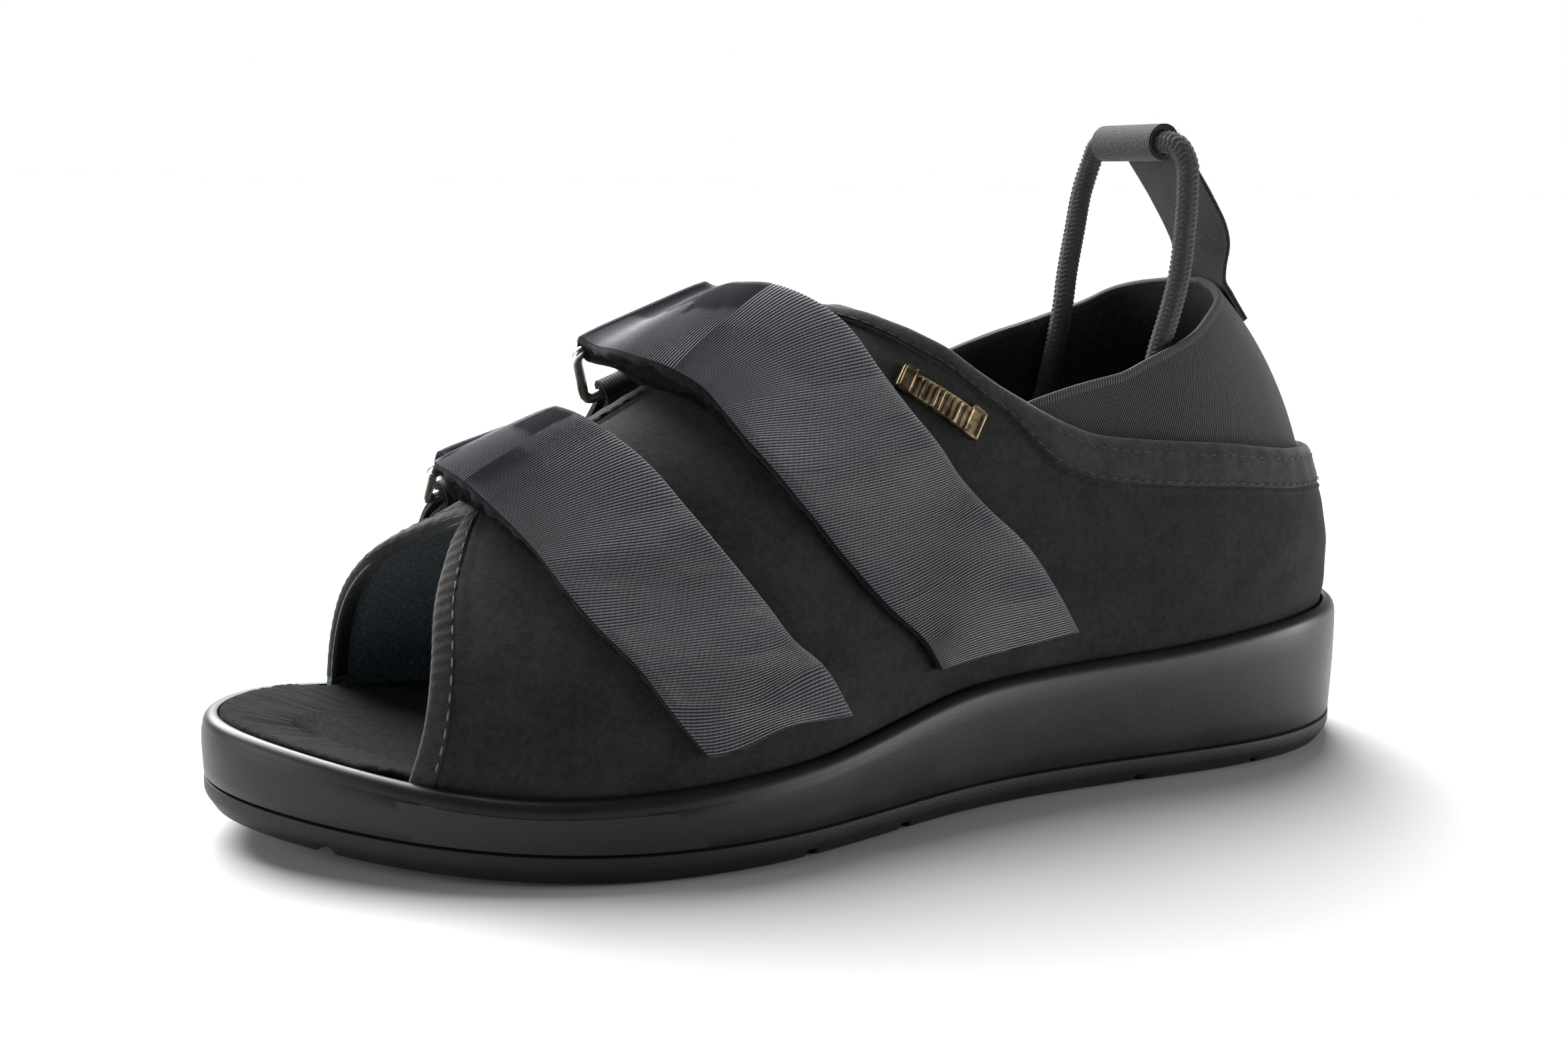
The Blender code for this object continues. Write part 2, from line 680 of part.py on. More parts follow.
def build_upper(finish):
    outside, inside = [], []
    stations = [(INNER, share) for share in columns()[::-1]] + [(OUTER, share) for share in columns()[1:]]
    for side, share in stations:
        angles, length = rib_walk(side, share)
        band = BINDING + (COLLAR_BAND - BINDING) * smooth((0.47 - share) / 0.05)
        edge = length[-1] - band
        heights = list(np.linspace(0, edge - BINDING_STEP / 2, UPPER_ROWS)) + [edge, length[-1]]
        angle = np.interp(heights, length, angles)
        way = side_way(side, share, angle)
        front_band = BINDING_STEP if share > 0.97 else 0.0
        lift = front_band * smooth(np.array(heights) / (2 * RECESS) - 1)
        lift[-2:] = BINDING_STEP
        lift = lift - sink(side, angle)
        outside.append(raised(side, way, angle, lift))
        inside.append(raised(side, way, angle, -WALL - sink(side, angle)))
        inside[-1][0, 2] = outside[-1][0, 2]
    return shell("upper", np.array(outside), np.array(inside), finish)


def build_heel_elastic(finish):
    tops = monotone(ELASTIC_TOP, 1), monotone(ELASTIC_TOP, 2)
    count = 13
    shares = np.linspace(0, ELASTIC_REACH, count)
    outside, inside = [], []
    stations = [(INNER, share) for share in shares[::-1]] + [(OUTER, share) for share in shares[1:]]
    for side, share in stations:
        angles, length = rib_walk(side, share)
        hem = min(length[-1], np.interp(math.radians(float(tops[side](share))), angles, length)) - ELASTIC_HEM
        low = np.interp(hem, length, angles)
        high = math.radians(float(tops[side](share)))
        angle = np.linspace(low, high, 6)
        way = side_way(side, share, angle)
        outside.append(raised(side, way, angle, -WALL - GAP))
        inside.append(raised(side, way, angle, -WALL - GAP - ELASTIC))
    return shell("heel_elastic", np.array(outside), np.array(inside), finish)


# Straps, rings, tabs and badge

def strap_place(line, angle_degrees):
    """Way and angle of a strap's centre line on the outer side's ribs."""
    return way_to(OUTER, at_share(line(angle_degrees))), np.radians(angle_degrees)


def across_strap(line, angle_degrees):
    """Change of way and angle for each metre across the strap towards the heel."""
    step = 1.0
    before = skin(OUTER, *strap_place(line, angle_degrees - step))
    after = skin(OUTER, *strap_place(line, angle_degrees + step))
    ahead = (after - before) / np.linalg.norm(after - before)
    way, angle = strap_place(line, angle_degrees)
    change = change_for(way, angle, np.cross(normal(OUTER, way, angle), ahead))
    return change if change[0] < 0 else -change


def strap_on_skin(rows, end, slant):
    """Function of a strap's place over the skin: share from its free end to the ridge, metres
    across it towards the heel, and lift."""
    line = monotone(rows, 1)
    angles = np.linspace(1.0, 96.0, 191)
    length = walked(skin(OUTER, *strap_place(line, angles)))
    changes = np.array([across_strap(line, angle) for angle in angles])
    ridge, free = np.interp((90.0, end), angles, length)

    def place(share, across, lift):
        slide = slant * across * (1 - smooth((share - SLANT_FROM) / SLANT_RUN))
        position = free + share * (ridge - free) + slide
        way, angle = strap_place(line, np.interp(position, length, angles))
        change = np.array([np.interp(position, length, changes[:, k]) for k in (0, 1)])
        return raised(OUTER, way + change[0] * across, angle + change[1] * across, lift)

    return place


def bar_frame(sizes):
    """Middle of a ring's bar and its directions: along it to the heel, level across it to the outer
    side, and up."""
    toe_end, heel_end = np.array(sizes[-2:]) * (LENGTH, BALL_WIDTH / 2, INSTEP_HEIGHT)
    along = heel_end - toe_end
    along /= np.linalg.norm(along)
    level = np.cross(along, (0, 0, 1))
    level *= np.sign(level[1]) / np.linalg.norm(level)
    up = np.cross(level, along)
    return (toe_end + heel_end) / 2, along, level, up * np.sign(up[2])


def strap_line(rows, sizes, width, share):
    """Chosen points of a strap's middle at a share of its width, from its sewn end to its free end."""
    end, slant, (toe_height, heel_height) = sizes[:3]
    place = strap_on_skin(rows, end, slant)
    across = (share - 0.5) * width
    middle, along, level, up = bar_frame(sizes)
    bar = middle + along * across
    radius = RING_WIRE / 2 + GAP + STRAP_THICKNESS / 2
    height = toe_height + share * (heel_height - toe_height) - LAYER_HIGH * STRAP_THICKNESS
    points = [place(part, across, layers * STRAP_THICKNESS) for part, layers in LOWER_LAYER]
    turn = [bar + radius * (level * math.cos(angle) + up * math.sin(angle)) for angle in np.radians(BAR_TURN)]
    points.append((points[-1] + turn[0]) / 2 + up * LOWER_BOW)
    points += turn
    for part, rise in UPPER_LAYER:
        points.append(place(part, across, LAYER_HIGH * STRAP_THICKNESS + rise * height))
    for part, layers in END_LAYER:
        points.append(place(part, across, layers * STRAP_THICKNESS))
    return points


def build_strap(name, rows, sizes, width, finish):
    lines = [through(strap_line(rows, sizes, width, share), 2) for share in STRAP_ROWS]
    return ribbon(name, lines, STRAP_THICKNESS, finish)


def ring_frame(sizes):
    """Middle of a ring's bar, direction along it to the heel and down the ring to its tab."""
    middle, along, _, _ = bar_frame(sizes)
    lean = sizes[3]
    below = np.array(lean) - along * np.dot(lean, along)
    return middle, along, below / np.linalg.norm(below)


def build_ring(name, sizes, width, finish):
    centre, along, below = ring_frame(sizes)
    half = width / 2 + RING_MARGIN + RING_WIRE / 2
    height = RING_SLOT + RING_WIRE
    path = []
    for x_sign, far, first in ((1, 0, -90), (1, 1, 0), (-1, 1, 90), (-1, 0, 180)):
        middle = (x_sign * (half - RING_CORNER), far * height + (RING_CORNER if far == 0 else -RING_CORNER))
        for turn in np.radians(np.linspace(first, first + 90, 5)):
            path.append((middle[0] + RING_CORNER * math.cos(turn),
                         middle[1] + RING_CORNER * math.sin(turn)))
    points = [centre + along * a + below * b for a, b in path]
    return pipe(name, points, RING_WIRE / 2, 8, finish, closed=True)


def build_tab(name, rows, sizes, width, finish):
    """Band that holds a ring's lower bar on the inner flap."""
    centre, along, below = ring_frame(sizes)
    radius = RING_WIRE / 2 + GAP + RING_TAB / 2
    line = monotone(rows, 1)
    way, angle = strap_place(line, TAB_START)
    change = across_strap(line, TAB_START)
    sections = []
    for share in STRAP_ROWS:
        across = (share - 0.5) * width * TAB_SHARE
        bar = centre + below * (RING_SLOT + RING_WIRE) + along * across
        place = way + change[0] * across, angle + change[1] * across
        first = raised(OUTER, *place, TAB_LIFT)
        last = raised(OUTER, *place, TAB_LIFT + RING_TAB + GAP)
        toward = first - bar
        toward -= along * np.dot(toward, along)
        toward /= np.linalg.norm(toward)
        away = np.cross(toward, along)
        away *= np.sign(np.dot(away, last - first))
        turn = [bar + radius * (toward * math.cos(a) + away * math.sin(a))
                for a in np.radians(np.linspace(285, 75, 9))]
        bow = away * TAB_BOW
        sections.append(np.vstack([first, (first + turn[0]) / 2 + bow, turn, (last + turn[-1]) / 2 + bow, last]))
    return ribbon(name, sections, RING_TAB, finish)


def build_badge(finish):
    behind_strap = at_share(monotone(REAR_LINE, 1)(BADGE_ANGLE)) - STRAP_REAR_WIDTH / 2 - BADGE_CLEAR
    way, angle = way_to(OUTER, behind_strap), math.radians(BADGE_ANGLE)
    along, up = slopes(OUTER, way, angle)
    long_side = along / np.linalg.norm(along) + BADGE_SLOPE * up / np.linalg.norm(up)
    long_side /= np.linalg.norm(long_side)
    short_side = np.cross(normal(OUTER, way, angle), long_side)
    outside, inside = [], []
    for a in np.linspace(-0.5, 0.5, 7):
        upper_row, lower_row = [], []
        for b in np.linspace(-0.5, 0.5, 3):
            move = long_side * a * BADGE_LENGTH + short_side * b * BADGE_WIDTH
            change = change_for(way, angle, move)
            place = way + change[0], angle + change[1]
            lower_row.append(raised(OUTER, *place, GAP))
            upper_row.append(raised(OUTER, *place, GAP + BADGE_THICKNESS))
        outside.append(upper_row)
        inside.append(lower_row)
    return shell("badge", np.array(outside), np.array(inside), finish)


# Pull loop

def build_pull_tab(finish):
    top = np.array([TAB_TOP[0] * LENGTH, TAB_TOP[1] * INSTEP_HEIGHT])
    radius = CORD / 2 + GAP + TAB_THICKNESS / 2
    back = [(x * LENGTH, z * INSTEP_HEIGHT) for x, z in TAB_LINE]
    turn = [top + radius * np.array([math.cos(a), math.sin(a)]) for a in np.radians(np.linspace(150, -118, 11))]
    lift = -WALL + TAB_THICKNESS / 2
    foot = [raised(OUTER, 0.0, math.radians(angle), lift)[[0, 2]] for angle in TAB_FOOT]
    profile = thick_line(open_curve(np.vstack([foot, back, turn]), 36), TAB_THICKNESS)
    low, high = foot[0][1], foot[-1][1]
    sections = []
    for share in np.linspace(-0.5, 0.5, 5):
        side = OUTER if share >= 0 else INNER
        way = abs(share) * TAB_WIDTH
        bend = [raised(side, way, math.radians(angle), lift) - raised(side, 0.0, math.radians(angle), lift)
                for angle in (TAB_FOOT[0], TAB_FOOT[-1])]
        flat = np.array([0, share * TAB_WIDTH, 0])
        points = []
        for x, z in profile:
            level = np.clip((z - low) / (high - low), 0, 1)
            curved = bend[0] + (bend[1] - bend[0]) * level
            blend = smooth((z - low) / (top[1] - low) * 1.6)
            points.append(np.array([x, 0, z]) + curved * (1 - blend) + flat * blend)
        sections.append(points)
    return stacked("pull_tab", np.array(sections), finish, 50)


def build_pull_cord(finish):
    return pipe("pull_cord", open_curve(CORD_ROUTE, 46), CORD / 2, 8, finish)


def main():
    for item in list(bpy.data.objects):
        bpy.data.objects.remove(item, do_unlink=True)
    rubber = material("sole_rubber", (0.018, 0.018, 0.019), 0.38)
    foam = material("sole_foam", (0.020, 0.020, 0.021), 0.34)
    terry = material("footbed_terry", (0.020, 0.020, 0.022), 0.95)
    suede = material("suede", (0.014, 0.016, 0.013), 0.92)
    elastic = material("elastic", (0.018, 0.019, 0.022), 0.80)
    webbing = material("strap_loop", (0.085, 0.083, 0.092), 0.85)
    nickel = material("nickel", (0.70, 0.68, 0.63), 0.25, 1.0)
    bronze = material("old_brass", (0.30, 0.22, 0.13), 0.45, 1.0)
    braid = material("braided_cord", (0.022, 0.022, 0.024), 0.85)
    build_outsole(rubber)
    build_midsole(foam)
    build_insole(terry)
    build_upper(suede)
    build_heel_elastic(elastic)
    for name, rows, sizes, width in (("front", FRONT_LINE, FRONT, STRAP_FRONT_WIDTH),
                                     ("rear", REAR_LINE, REAR, STRAP_REAR_WIDTH)):
        build_strap(f"strap_{name}", rows, sizes, width, webbing)
        build_ring(f"ring_{name}", sizes, width, nickel)
        build_tab(f"tab_{name}", rows, sizes, width, elastic)
    build_badge(bronze)
    build_pull_tab(elastic)
    build_pull_cord(braid)


main()
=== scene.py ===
"""Dresses the open-toe lymphedema shoe for its picture. Metres, +X heel to toe, +Y outer side, +Z up."""

import math

import bpy
import numpy as np
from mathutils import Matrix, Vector


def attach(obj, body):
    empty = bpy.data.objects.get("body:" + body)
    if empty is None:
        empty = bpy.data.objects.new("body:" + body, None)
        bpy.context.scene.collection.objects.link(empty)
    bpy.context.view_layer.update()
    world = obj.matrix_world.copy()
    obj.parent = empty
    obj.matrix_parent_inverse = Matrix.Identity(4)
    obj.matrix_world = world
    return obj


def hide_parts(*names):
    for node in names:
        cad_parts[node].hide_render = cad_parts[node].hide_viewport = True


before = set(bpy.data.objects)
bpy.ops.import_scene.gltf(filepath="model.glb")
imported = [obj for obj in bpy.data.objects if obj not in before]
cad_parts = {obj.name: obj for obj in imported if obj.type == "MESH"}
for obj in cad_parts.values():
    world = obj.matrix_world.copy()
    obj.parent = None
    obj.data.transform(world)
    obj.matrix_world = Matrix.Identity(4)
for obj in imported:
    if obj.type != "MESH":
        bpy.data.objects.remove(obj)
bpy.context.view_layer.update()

# Driving sizes, the same as the frame's
LENGTH = 0.290
BALL_WIDTH = 0.110
HEEL_WIDTH = 0.0758
HEEL_HEIGHT = 0.0365
FOREPART_HEIGHT = 0.0184
INSTEP_HEIGHT = 0.1125
TOE_SPRING = 0.0071
HEEL_BEVEL = 0.0020
OUTSOLE = 0.0066
EDGE_CHAMFER = 0.0032
PARTING = 0.0006
RIM = 0.0035
RECESS = 0.0036
FEATHER_GAP = 0.0005
GAP = 0.0003
WALL = 0.0020
BULGE = 0.0018
BULGE_HEIGHT = 0.035
HEEL_LEAN = 0.092
BINDING = 0.0055
COLLAR_BAND = 0.0105
FLAP_GAP = 0.0010
ELASTIC = 0.0015
ELASTIC_HEM = 0.010
TAB_WIDTH = 0.025
TAB_THICKNESS = 0.0014
CORD = 0.0055
STRAP_FRONT_WIDTH = 0.0300
STRAP_REAR_WIDTH = 0.0360
STRAP_THICKNESS = 0.0020
RING_WIRE = 0.0028
RING_SLOT = 0.0110
RING_MARGIN = 0.0009
RING_CORNER = 0.0025
RING_TAB = 0.0016
BADGE_LENGTH = 0.0226
BADGE_WIDTH = 0.0074
BADGE_THICKNESS = 0.0013
BADGE_CLEAR = 0.0096
MM = 0.001

# Sole outline: share of the length, width that the row follows, outer and inner reach
OUTLINE = (
    (0.04, HEEL_WIDTH, 0.66, 0.66),
    (0.14, HEEL_WIDTH, 1.00, 1.00),
    (0.30, HEEL_WIDTH, 1.04, 0.95),
    (0.45, HEEL_WIDTH, 1.15, 0.97),
    (0.60, BALL_WIDTH, 1.01, 0.89),
    (0.72, BALL_WIDTH, 1.03, 0.97),
    (0.84, BALL_WIDTH, 0.83, 0.885),
    (0.95, BALL_WIDTH, 0.405, 0.60),
)
TOE_TIP = -0.042
SOLE_TOP = (
    (0.00, 1.000, 0.00),
    (0.05, 1.000, 0.00),
    (0.25, 0.770, 0.00),
    (0.42, 0.625, 0.00),
    (0.60, 0.144, 0.00),
    (0.78, 0.000, 0.00),
    (1.00, 0.000, 1.34),
)
SPRING_FROM = 0.70
BEVEL_TO = 0.06
GROOVES = (0.154, 0.274, 0.507, 0.597, 0.928)
GROOVE_WIDTH = 0.0026
GROOVE_DEPTH = 0.0018

# Last: share of the length, ridge height as a share of the instep, fullness of each side
LAST = (
    (0.00, 1.275, 2.0, 2.0),
    (0.10, 1.272, 2.0, 2.0),
    (0.20, 1.258, 2.0, 2.0),
    (0.30, 1.215, 2.0, 2.0),
    (0.40, 1.125, 2.0, 2.0),
    (0.47, 1.055, 2.0, 2.0),
    (0.53, 1.000, 2.0, 2.0),
    (0.60, 0.920, 2.0, 2.0),
    (0.65, 0.853, 2.0, 2.1),
    (0.70, 0.782, 2.0, 2.2),
    (0.75, 0.708, 2.0, 2.4),
    (0.81, 0.613, 2.0, 2.7),
    (0.85, 0.548, 2.1, 2.9),
    (0.90, 0.470, 2.1, 2.9),
    (1.00, 0.330, 2.1, 2.9),
)
LEAN_TO = 0.293
TOE_EDGE = (
    (0, 0.879, 0.891),
    (20, 0.866, 0.884),
    (38, 0.857, 0.876),
    (50, 0.851, 0.866),
    (60, 0.843, 0.852),
    (68, 0.834, 0.836),
    (76, 0.823, 0.820),
    (84, 0.806, 0.808),
    (95, 0.790, 0.797),
    (115, 0.785, 0.790),
)
OUTER_EDGE = (
    (0.000, 22.6), (0.139, 24.0), (0.230, 26.4), (0.306, 28.4), (0.379, 31.3),
    (0.412, 34.5), (0.445, 39.3), (0.483, 46.5), (0.515, 55.2), (0.556, 66.7),
    (0.594, 80.0), (0.613, 88.0), (0.650, 94.0), (1.000, 94.0),
)
INNER_EDGE = (
    (0.000, 22.6), (0.139, 24.2), (0.230, 27.0), (0.306, 29.8), (0.379, 34.0),
    (0.412, 37.5), (0.445, 42.5), (0.483, 51.0), (0.515, 60.0), (0.556, 74.0),
    (0.594, 92.0), (0.613, 102.0), (0.650, 111.0), (1.000, 113.0),
)
ELASTIC_TOP = (
    (0.00, 52.3, 52.3), (0.05, 51.0, 52.0), (0.10, 49.0, 51.2), (0.18, 45.9, 49.2), (0.23, 43.6, 47.8),
    (0.27, 42.2, 47.0), (0.31, 41.0, 46.6), (0.35, 39.6, 46.0), (0.45, 39.3, 44.4), (0.50, 39.0, 43.5),
)
ELASTIC_REACH = 0.49

# Straps: angle round the rib, share of the length at the strap's centre
FRONT_LINE = ((0, 0.600), (8, 0.620), (15, 0.650), (26, 0.678), (40, 0.711), (57, 0.734), (76, 0.754),
              (90, 0.762), (120, 0.766), (160, 0.768))
REAR_LINE = ((0, 0.386), (5, 0.405), (15, 0.440), (25, 0.4865), (38, 0.528), (51, 0.560), (67, 0.581),
             (90, 0.612), (120, 0.626), (160, 0.630))
FRONT_CREST = 0.0112, 0.0066
REAR_CREST = 0.0112, 0.0102
FRONT = (8.9, -0.600, FRONT_CREST, (0.10, -0.72, -0.68), (0.3086, -0.4455, 0.6667), (0.1983, -0.5727, 0.7422))
REAR = (6.2, -0.550, REAR_CREST, (0.12, -0.34, -0.93), (0.1862, -0.4455, 0.8996), (0.0672, -0.5091, 1.0160))
SLANT_FROM = 0.45
SLANT_RUN = 0.50
LOWER_LAYER = ((0.53, 0.76), (0.65, 0.76), (0.77, 0.82), (0.88, 1.20), (0.98, 1.65))
LOWER_BOW = 0.0014
LAYER_HIGH = 1.98
UPPER_LAYER = (
    (1.00, 1.00), (0.90, 0.80), (0.80, 0.53), (0.70, 0.27), (0.61, 0.08), (0.53, 0.00),
)
END_LAYER = ((0.44, 1.05), (0.34, 0.78), (0.22, 0.76), (0.11, 0.76), (0.00, 0.76))
BAR_TURN = (-72, -115, -155, 165, 125, 88, 62)
TAB_START = 142
TAB_LIFT = 0.0013
TAB_SHARE = 0.86
TAB_BOW = 0.0008
BADGE_ANGLE = 45.7
BADGE_SLOPE = 0.97
TAB_LINE = (
    (-0.3610, 1.084), (-0.3572, 1.129), (-0.3493, 1.169), (-0.3379, 1.213), (-0.3224, 1.267),
    (-0.3110, 1.303),
)
TAB_TOP = (-0.2807, 1.350)
TAB_FOOT = (43.5, 46.0, 48.5, 51.0)
CORD_ROUTE = (
    (-0.0679, -0.0224, 0.0695), (-0.0692, -0.0210, 0.0787), (-0.0704, -0.0188, 0.0888),
    (-0.0710, -0.0162, 0.0994), (-0.0722, -0.0152, 0.1096), (-0.0745, -0.0172, 0.1193),
    (-0.0776, -0.0194, 0.1297), (-0.0806, -0.0212, 0.1403), (-0.0824, -0.0206, 0.1470),
    (-0.0820, -0.0174, 0.1510), (-0.0814, -0.0136, 0.1519), (-0.0814, -0.0100, 0.1519),
    (-0.0814, 0.0100, 0.1519), (-0.0814, 0.0136, 0.1519), (-0.0820, 0.0172, 0.1510),
    (-0.0828, 0.0202, 0.1468),
    (-0.0830, 0.0208, 0.1400), (-0.0828, 0.0208, 0.1300), (-0.0822, 0.0206, 0.1210),
    (-0.0806, 0.0200, 0.1120), (-0.0785, 0.0192, 0.1030), (-0.0762, 0.0194, 0.0940),
    (-0.0738, 0.0212, 0.0830), (-0.0718, 0.0226, 0.0720),
)


# Curves

def monotone(rows, column):
    """Smooth function through one column of a table, with no overshoot."""
    xs = np.array([row[0] for row in rows], float)
    ys = np.array([row[column] for row in rows], float)
    step = np.diff(xs)
    slope = np.diff(ys) / step
    tangent = np.empty(len(xs))
    tangent[0], tangent[-1] = slope[0], slope[-1]
    for k in range(1, len(xs) - 1):
        if slope[k - 1] * slope[k] > 0:
            before = 2 * step[k] + step[k - 1]
            after = step[k] + 2 * step[k - 1]
            tangent[k] = (before + after) / (before / slope[k - 1] + after / slope[k])
        else:
            tangent[k] = 0

    def value(x):
        x = np.clip(x, xs[0], xs[-1])
        k = np.clip(np.searchsorted(xs, x, side="right") - 1, 0, len(xs) - 2)
        t = (x - xs[k]) / step[k]
        return ((1 + 2 * t) * (1 - t) ** 2 * ys[k] + t * (1 - t) ** 2 * step[k] * tangent[k]
                + t * t * (3 - 2 * t) * ys[k + 1] + t * t * (t - 1) * step[k] * tangent[k + 1])

    return value


def closed_spline(points, count):
    """Points of a smooth closed curve through the given ones."""
    points = np.array(points, float)
    total = len(points)
    ring = np.vstack([points, points[:1]])
    chord = np.sqrt(np.linalg.norm(np.diff(ring, axis=0), axis=1))
    knots = np.concatenate([[0], np.cumsum(chord)])
    matrix = np.zeros((total, total))
    right = np.zeros((total, 2))
    for k in range(total):
        before = (k - 1) % total
        matrix[k, before] += chord[before]
        matrix[k, k] += 2 * (chord[before] + chord[k])
        matrix[k, (k + 1) % total] += chord[k]
        right[k] = 6 * ((ring[k + 1] - ring[k]) / chord[k] - (ring[k] - ring[before]) / chord[before])
    bend = np.linalg.solve(matrix, right)
    bend = np.vstack([bend, bend[:1]])
    t = np.linspace(0, knots[-1], count, endpoint=False)
    k = np.clip(np.searchsorted(knots, t, side="right") - 1, 0, total - 1)
    a = (knots[k + 1] - t)[:, None]
    b = (t - knots[k])[:, None]
    h = chord[k][:, None]
    return ((bend[k] * a ** 3 + bend[k + 1] * b ** 3) / (6 * h)
            + (ring[k] / h - bend[k] * h / 6) * a + (ring[k + 1] / h - bend[k + 1] * h / 6) * b)


def walked(points):
    return np.concatenate([[0], np.cumsum(np.linalg.norm(np.diff(points, axis=0), axis=1))])


def through(points, parts):
    """Smooth open curve through the given points, each stretch cut into as many parts."""
    points = np.array(points, float)
    step = np.linalg.norm(np.diff(points, axis=0), axis=1)[:, None]
    slope = np.diff(points, axis=0) / step
    tangent = np.vstack([slope[:1], (slope[:-1] * step[1:] + slope[1:] * step[:-1]) / (step[1:] + step[:-1]),
                         slope[-1:]])
    t = np.linspace(0, 1, parts, endpoint=False)[None, :, None]
    a, b = points[:-1, None], points[1:, None]
    curve = ((1 + 2 * t) * (1 - t) ** 2 * a + t * t * (3 - 2 * t) * b
             + t * (1 - t) * step[:, None] * ((1 - t) * tangent[:-1, None] - t * tangent[1:, None]))
    return np.vstack([curve.reshape(-1, points.shape[1]), points[-1:]])


def resampled(points, places):
    """Points of a line at the given lengths along it."""
    length = walked(points)
    return np.stack([np.interp(places, length, points[:, axis]) for axis in range(points.shape[1])], 1)


def open_curve(points, count):
    fine = through(points, 16)
    return resampled(fine, np.linspace(0, walked(fine)[-1], count))


def smooth(t):
    t = np.clip(t, 0, 1)
    return t * t * (3 - 2 * t)


def unit(vectors):
    return vectors / np.linalg.norm(vectors, axis=-1, keepdims=True)


def share_of(x):
    return x / LENGTH + 0.5


def at_share(share):
    return (share - 0.5) * LENGTH


# The last and the sole's outline

def outline_points():
    outer = [(at_share(share), width / 2 * reach) for share, width, reach, _ in OUTLINE]
    inner = [(at_share(share), -width / 2 * reach) for share, width, _, reach in OUTLINE]
    toe = (LENGTH / 2, TOE_TIP * BALL_WIDTH)
    return closed_spline([(-LENGTH / 2, 0.0)] + outer + [toe] + inner[::-1], 960)


OUTLINE_LOOP = outline_points()


def inset_outline(distance):
    ahead = unit(np.roll(OUTLINE_LOOP, -1, axis=0) - np.roll(OUTLINE_LOOP, 1, axis=0))
    outwards = np.stack([-ahead[:, 1], ahead[:, 0]], 1)
    return OUTLINE_LOOP - outwards * np.reshape(distance, (-1, 1))


def halves(loop):
    heel = loop[:, 0].argmin()
    turned = np.roll(loop, -heel, axis=0)
    toe = turned[:, 0].argmax()
    return turned[:toe + 1], np.vstack([turned[toe:], turned[:1]])[::-1]


sole_rise = monotone(SOLE_TOP, 1)
sole_spring = monotone(SOLE_TOP, 2)


def sole_top(x):
    share = share_of(x)
    return (FOREPART_HEIGHT + sole_rise(share) * (HEEL_HEIGHT - FOREPART_HEIGHT)
            + sole_spring(share) * TOE_SPRING)


def ground_clear(x):
    share = share_of(x)
    toe = np.clip((share - SPRING_FROM) / (1 - SPRING_FROM), 0, 1)
    heel = np.clip((BEVEL_TO - share) / BEVEL_TO, 0, 1)
    return TOE_SPRING * toe ** 2 + HEEL_BEVEL * heel ** 2


FEATHER = halves(inset_outline(RIM + FEATHER_GAP))
FEATHER_LENGTH = walked(FEATHER[0]), walked(FEATHER[1])
ridge_share = monotone(LAST, 1)
fullness = monotone(LAST, 2), monotone(LAST, 3)
toe_edge = monotone(TOE_EDGE, 1), monotone(TOE_EDGE, 2)
flap_edge = monotone(OUTER_EDGE, 1), monotone(INNER_EDGE, 1)
elastic_top = monotone(ELASTIC_TOP, 1), monotone(ELASTIC_TOP, 2)
OUTER, INNER = 0, 1
WAY_STEP = 0.002
ANGLE_STEP = 0.03


def way_to(side, x):
    return np.interp(x, FEATHER[side][:, 0], FEATHER_LENGTH[side])


def skin(side, way, angle):
    """Point of the last's skin: way along the feather line, angle up the rib and over the ridge."""
    near, far = FEATHER[side], FEATHER[1 - side]
    base_x = np.interp(way, FEATHER_LENGTH[side], near[:, 0])
    base_y = np.interp(way, FEATHER_LENGTH[side], near[:, 1])
    far_y = np.interp(base_x, far[:, 0], far[:, 1])
    lean = HEEL_LEAN * smooth((LEAN_TO - share_of(base_x)) / LEAN_TO)
    centre = base_x + lean
    floor = sole_top(base_x) - RECESS + GAP
    height = ridge_share(share_of(base_x)) * INSTEP_HEIGHT - floor
    across = np.cos(angle)
    own = across >= 0
    power = np.where(own, fullness[side](share_of(base_x)), fullness[1 - side](share_of(base_x)))
    reach = np.abs(across) ** (2 / power)
    rise = height * np.abs(np.sin(angle)) ** (2 / power)
    x = np.where(own, centre + (base_x - centre) * reach, centre)
    y = np.where(own, base_y * reach, far_y * reach)
    swell = np.where(own, BULGE * np.sin(np.pi * np.clip((rise - RECESS) / BULGE_HEIGHT, 0, 1)), 0)
    out_x, out_y = base_x - centre, base_y
    size = np.hypot(out_x, out_y)
    return np.stack([x + swell * out_x / size, y + swell * out_y / size, floor + rise], -1)


def slopes(side, way, angle):
    low = np.maximum(way - WAY_STEP, 0)
    along = skin(side, low + 2 * WAY_STEP, angle) - skin(side, low, angle)
    low = np.maximum(angle - ANGLE_STEP, 0)
    up = skin(side, way, low + 2 * ANGLE_STEP) - skin(side, way, low)
    return along / (2 * WAY_STEP), up / (2 * ANGLE_STEP)


def normal(side, way, angle):
    along, up = slopes(side, way, angle)
    return unit(np.cross(up, along) if side == OUTER else np.cross(along, up))


def change_for(way, angle, move):
    return np.linalg.lstsq(np.stack(slopes(OUTER, way, angle), 1), move, rcond=None)[0]


def raised(side, way, angle, lift):
    way, angle, lift = np.broadcast_arrays(np.asarray(way, float), angle, lift)
    return skin(side, way, angle) + normal(side, way, angle) * lift[..., None]


def front_way(side, angle):
    return way_to(side, at_share(toe_edge[side](np.degrees(angle))))


def side_way(side, share, angle):
    base = front_way(side, 0.0)
    follow = smooth((share - 0.62) / 0.38)
    return share * base + follow * (front_way(side, angle) - base) * share


def sink(side, angle):
    """Depth by which the inner flap passes under the outer one."""
    return (WALL + FLAP_GAP) * smooth((np.degrees(angle) - 52) / 28) if side == INNER else 0 * angle


OVER_EDGE = math.radians(7)


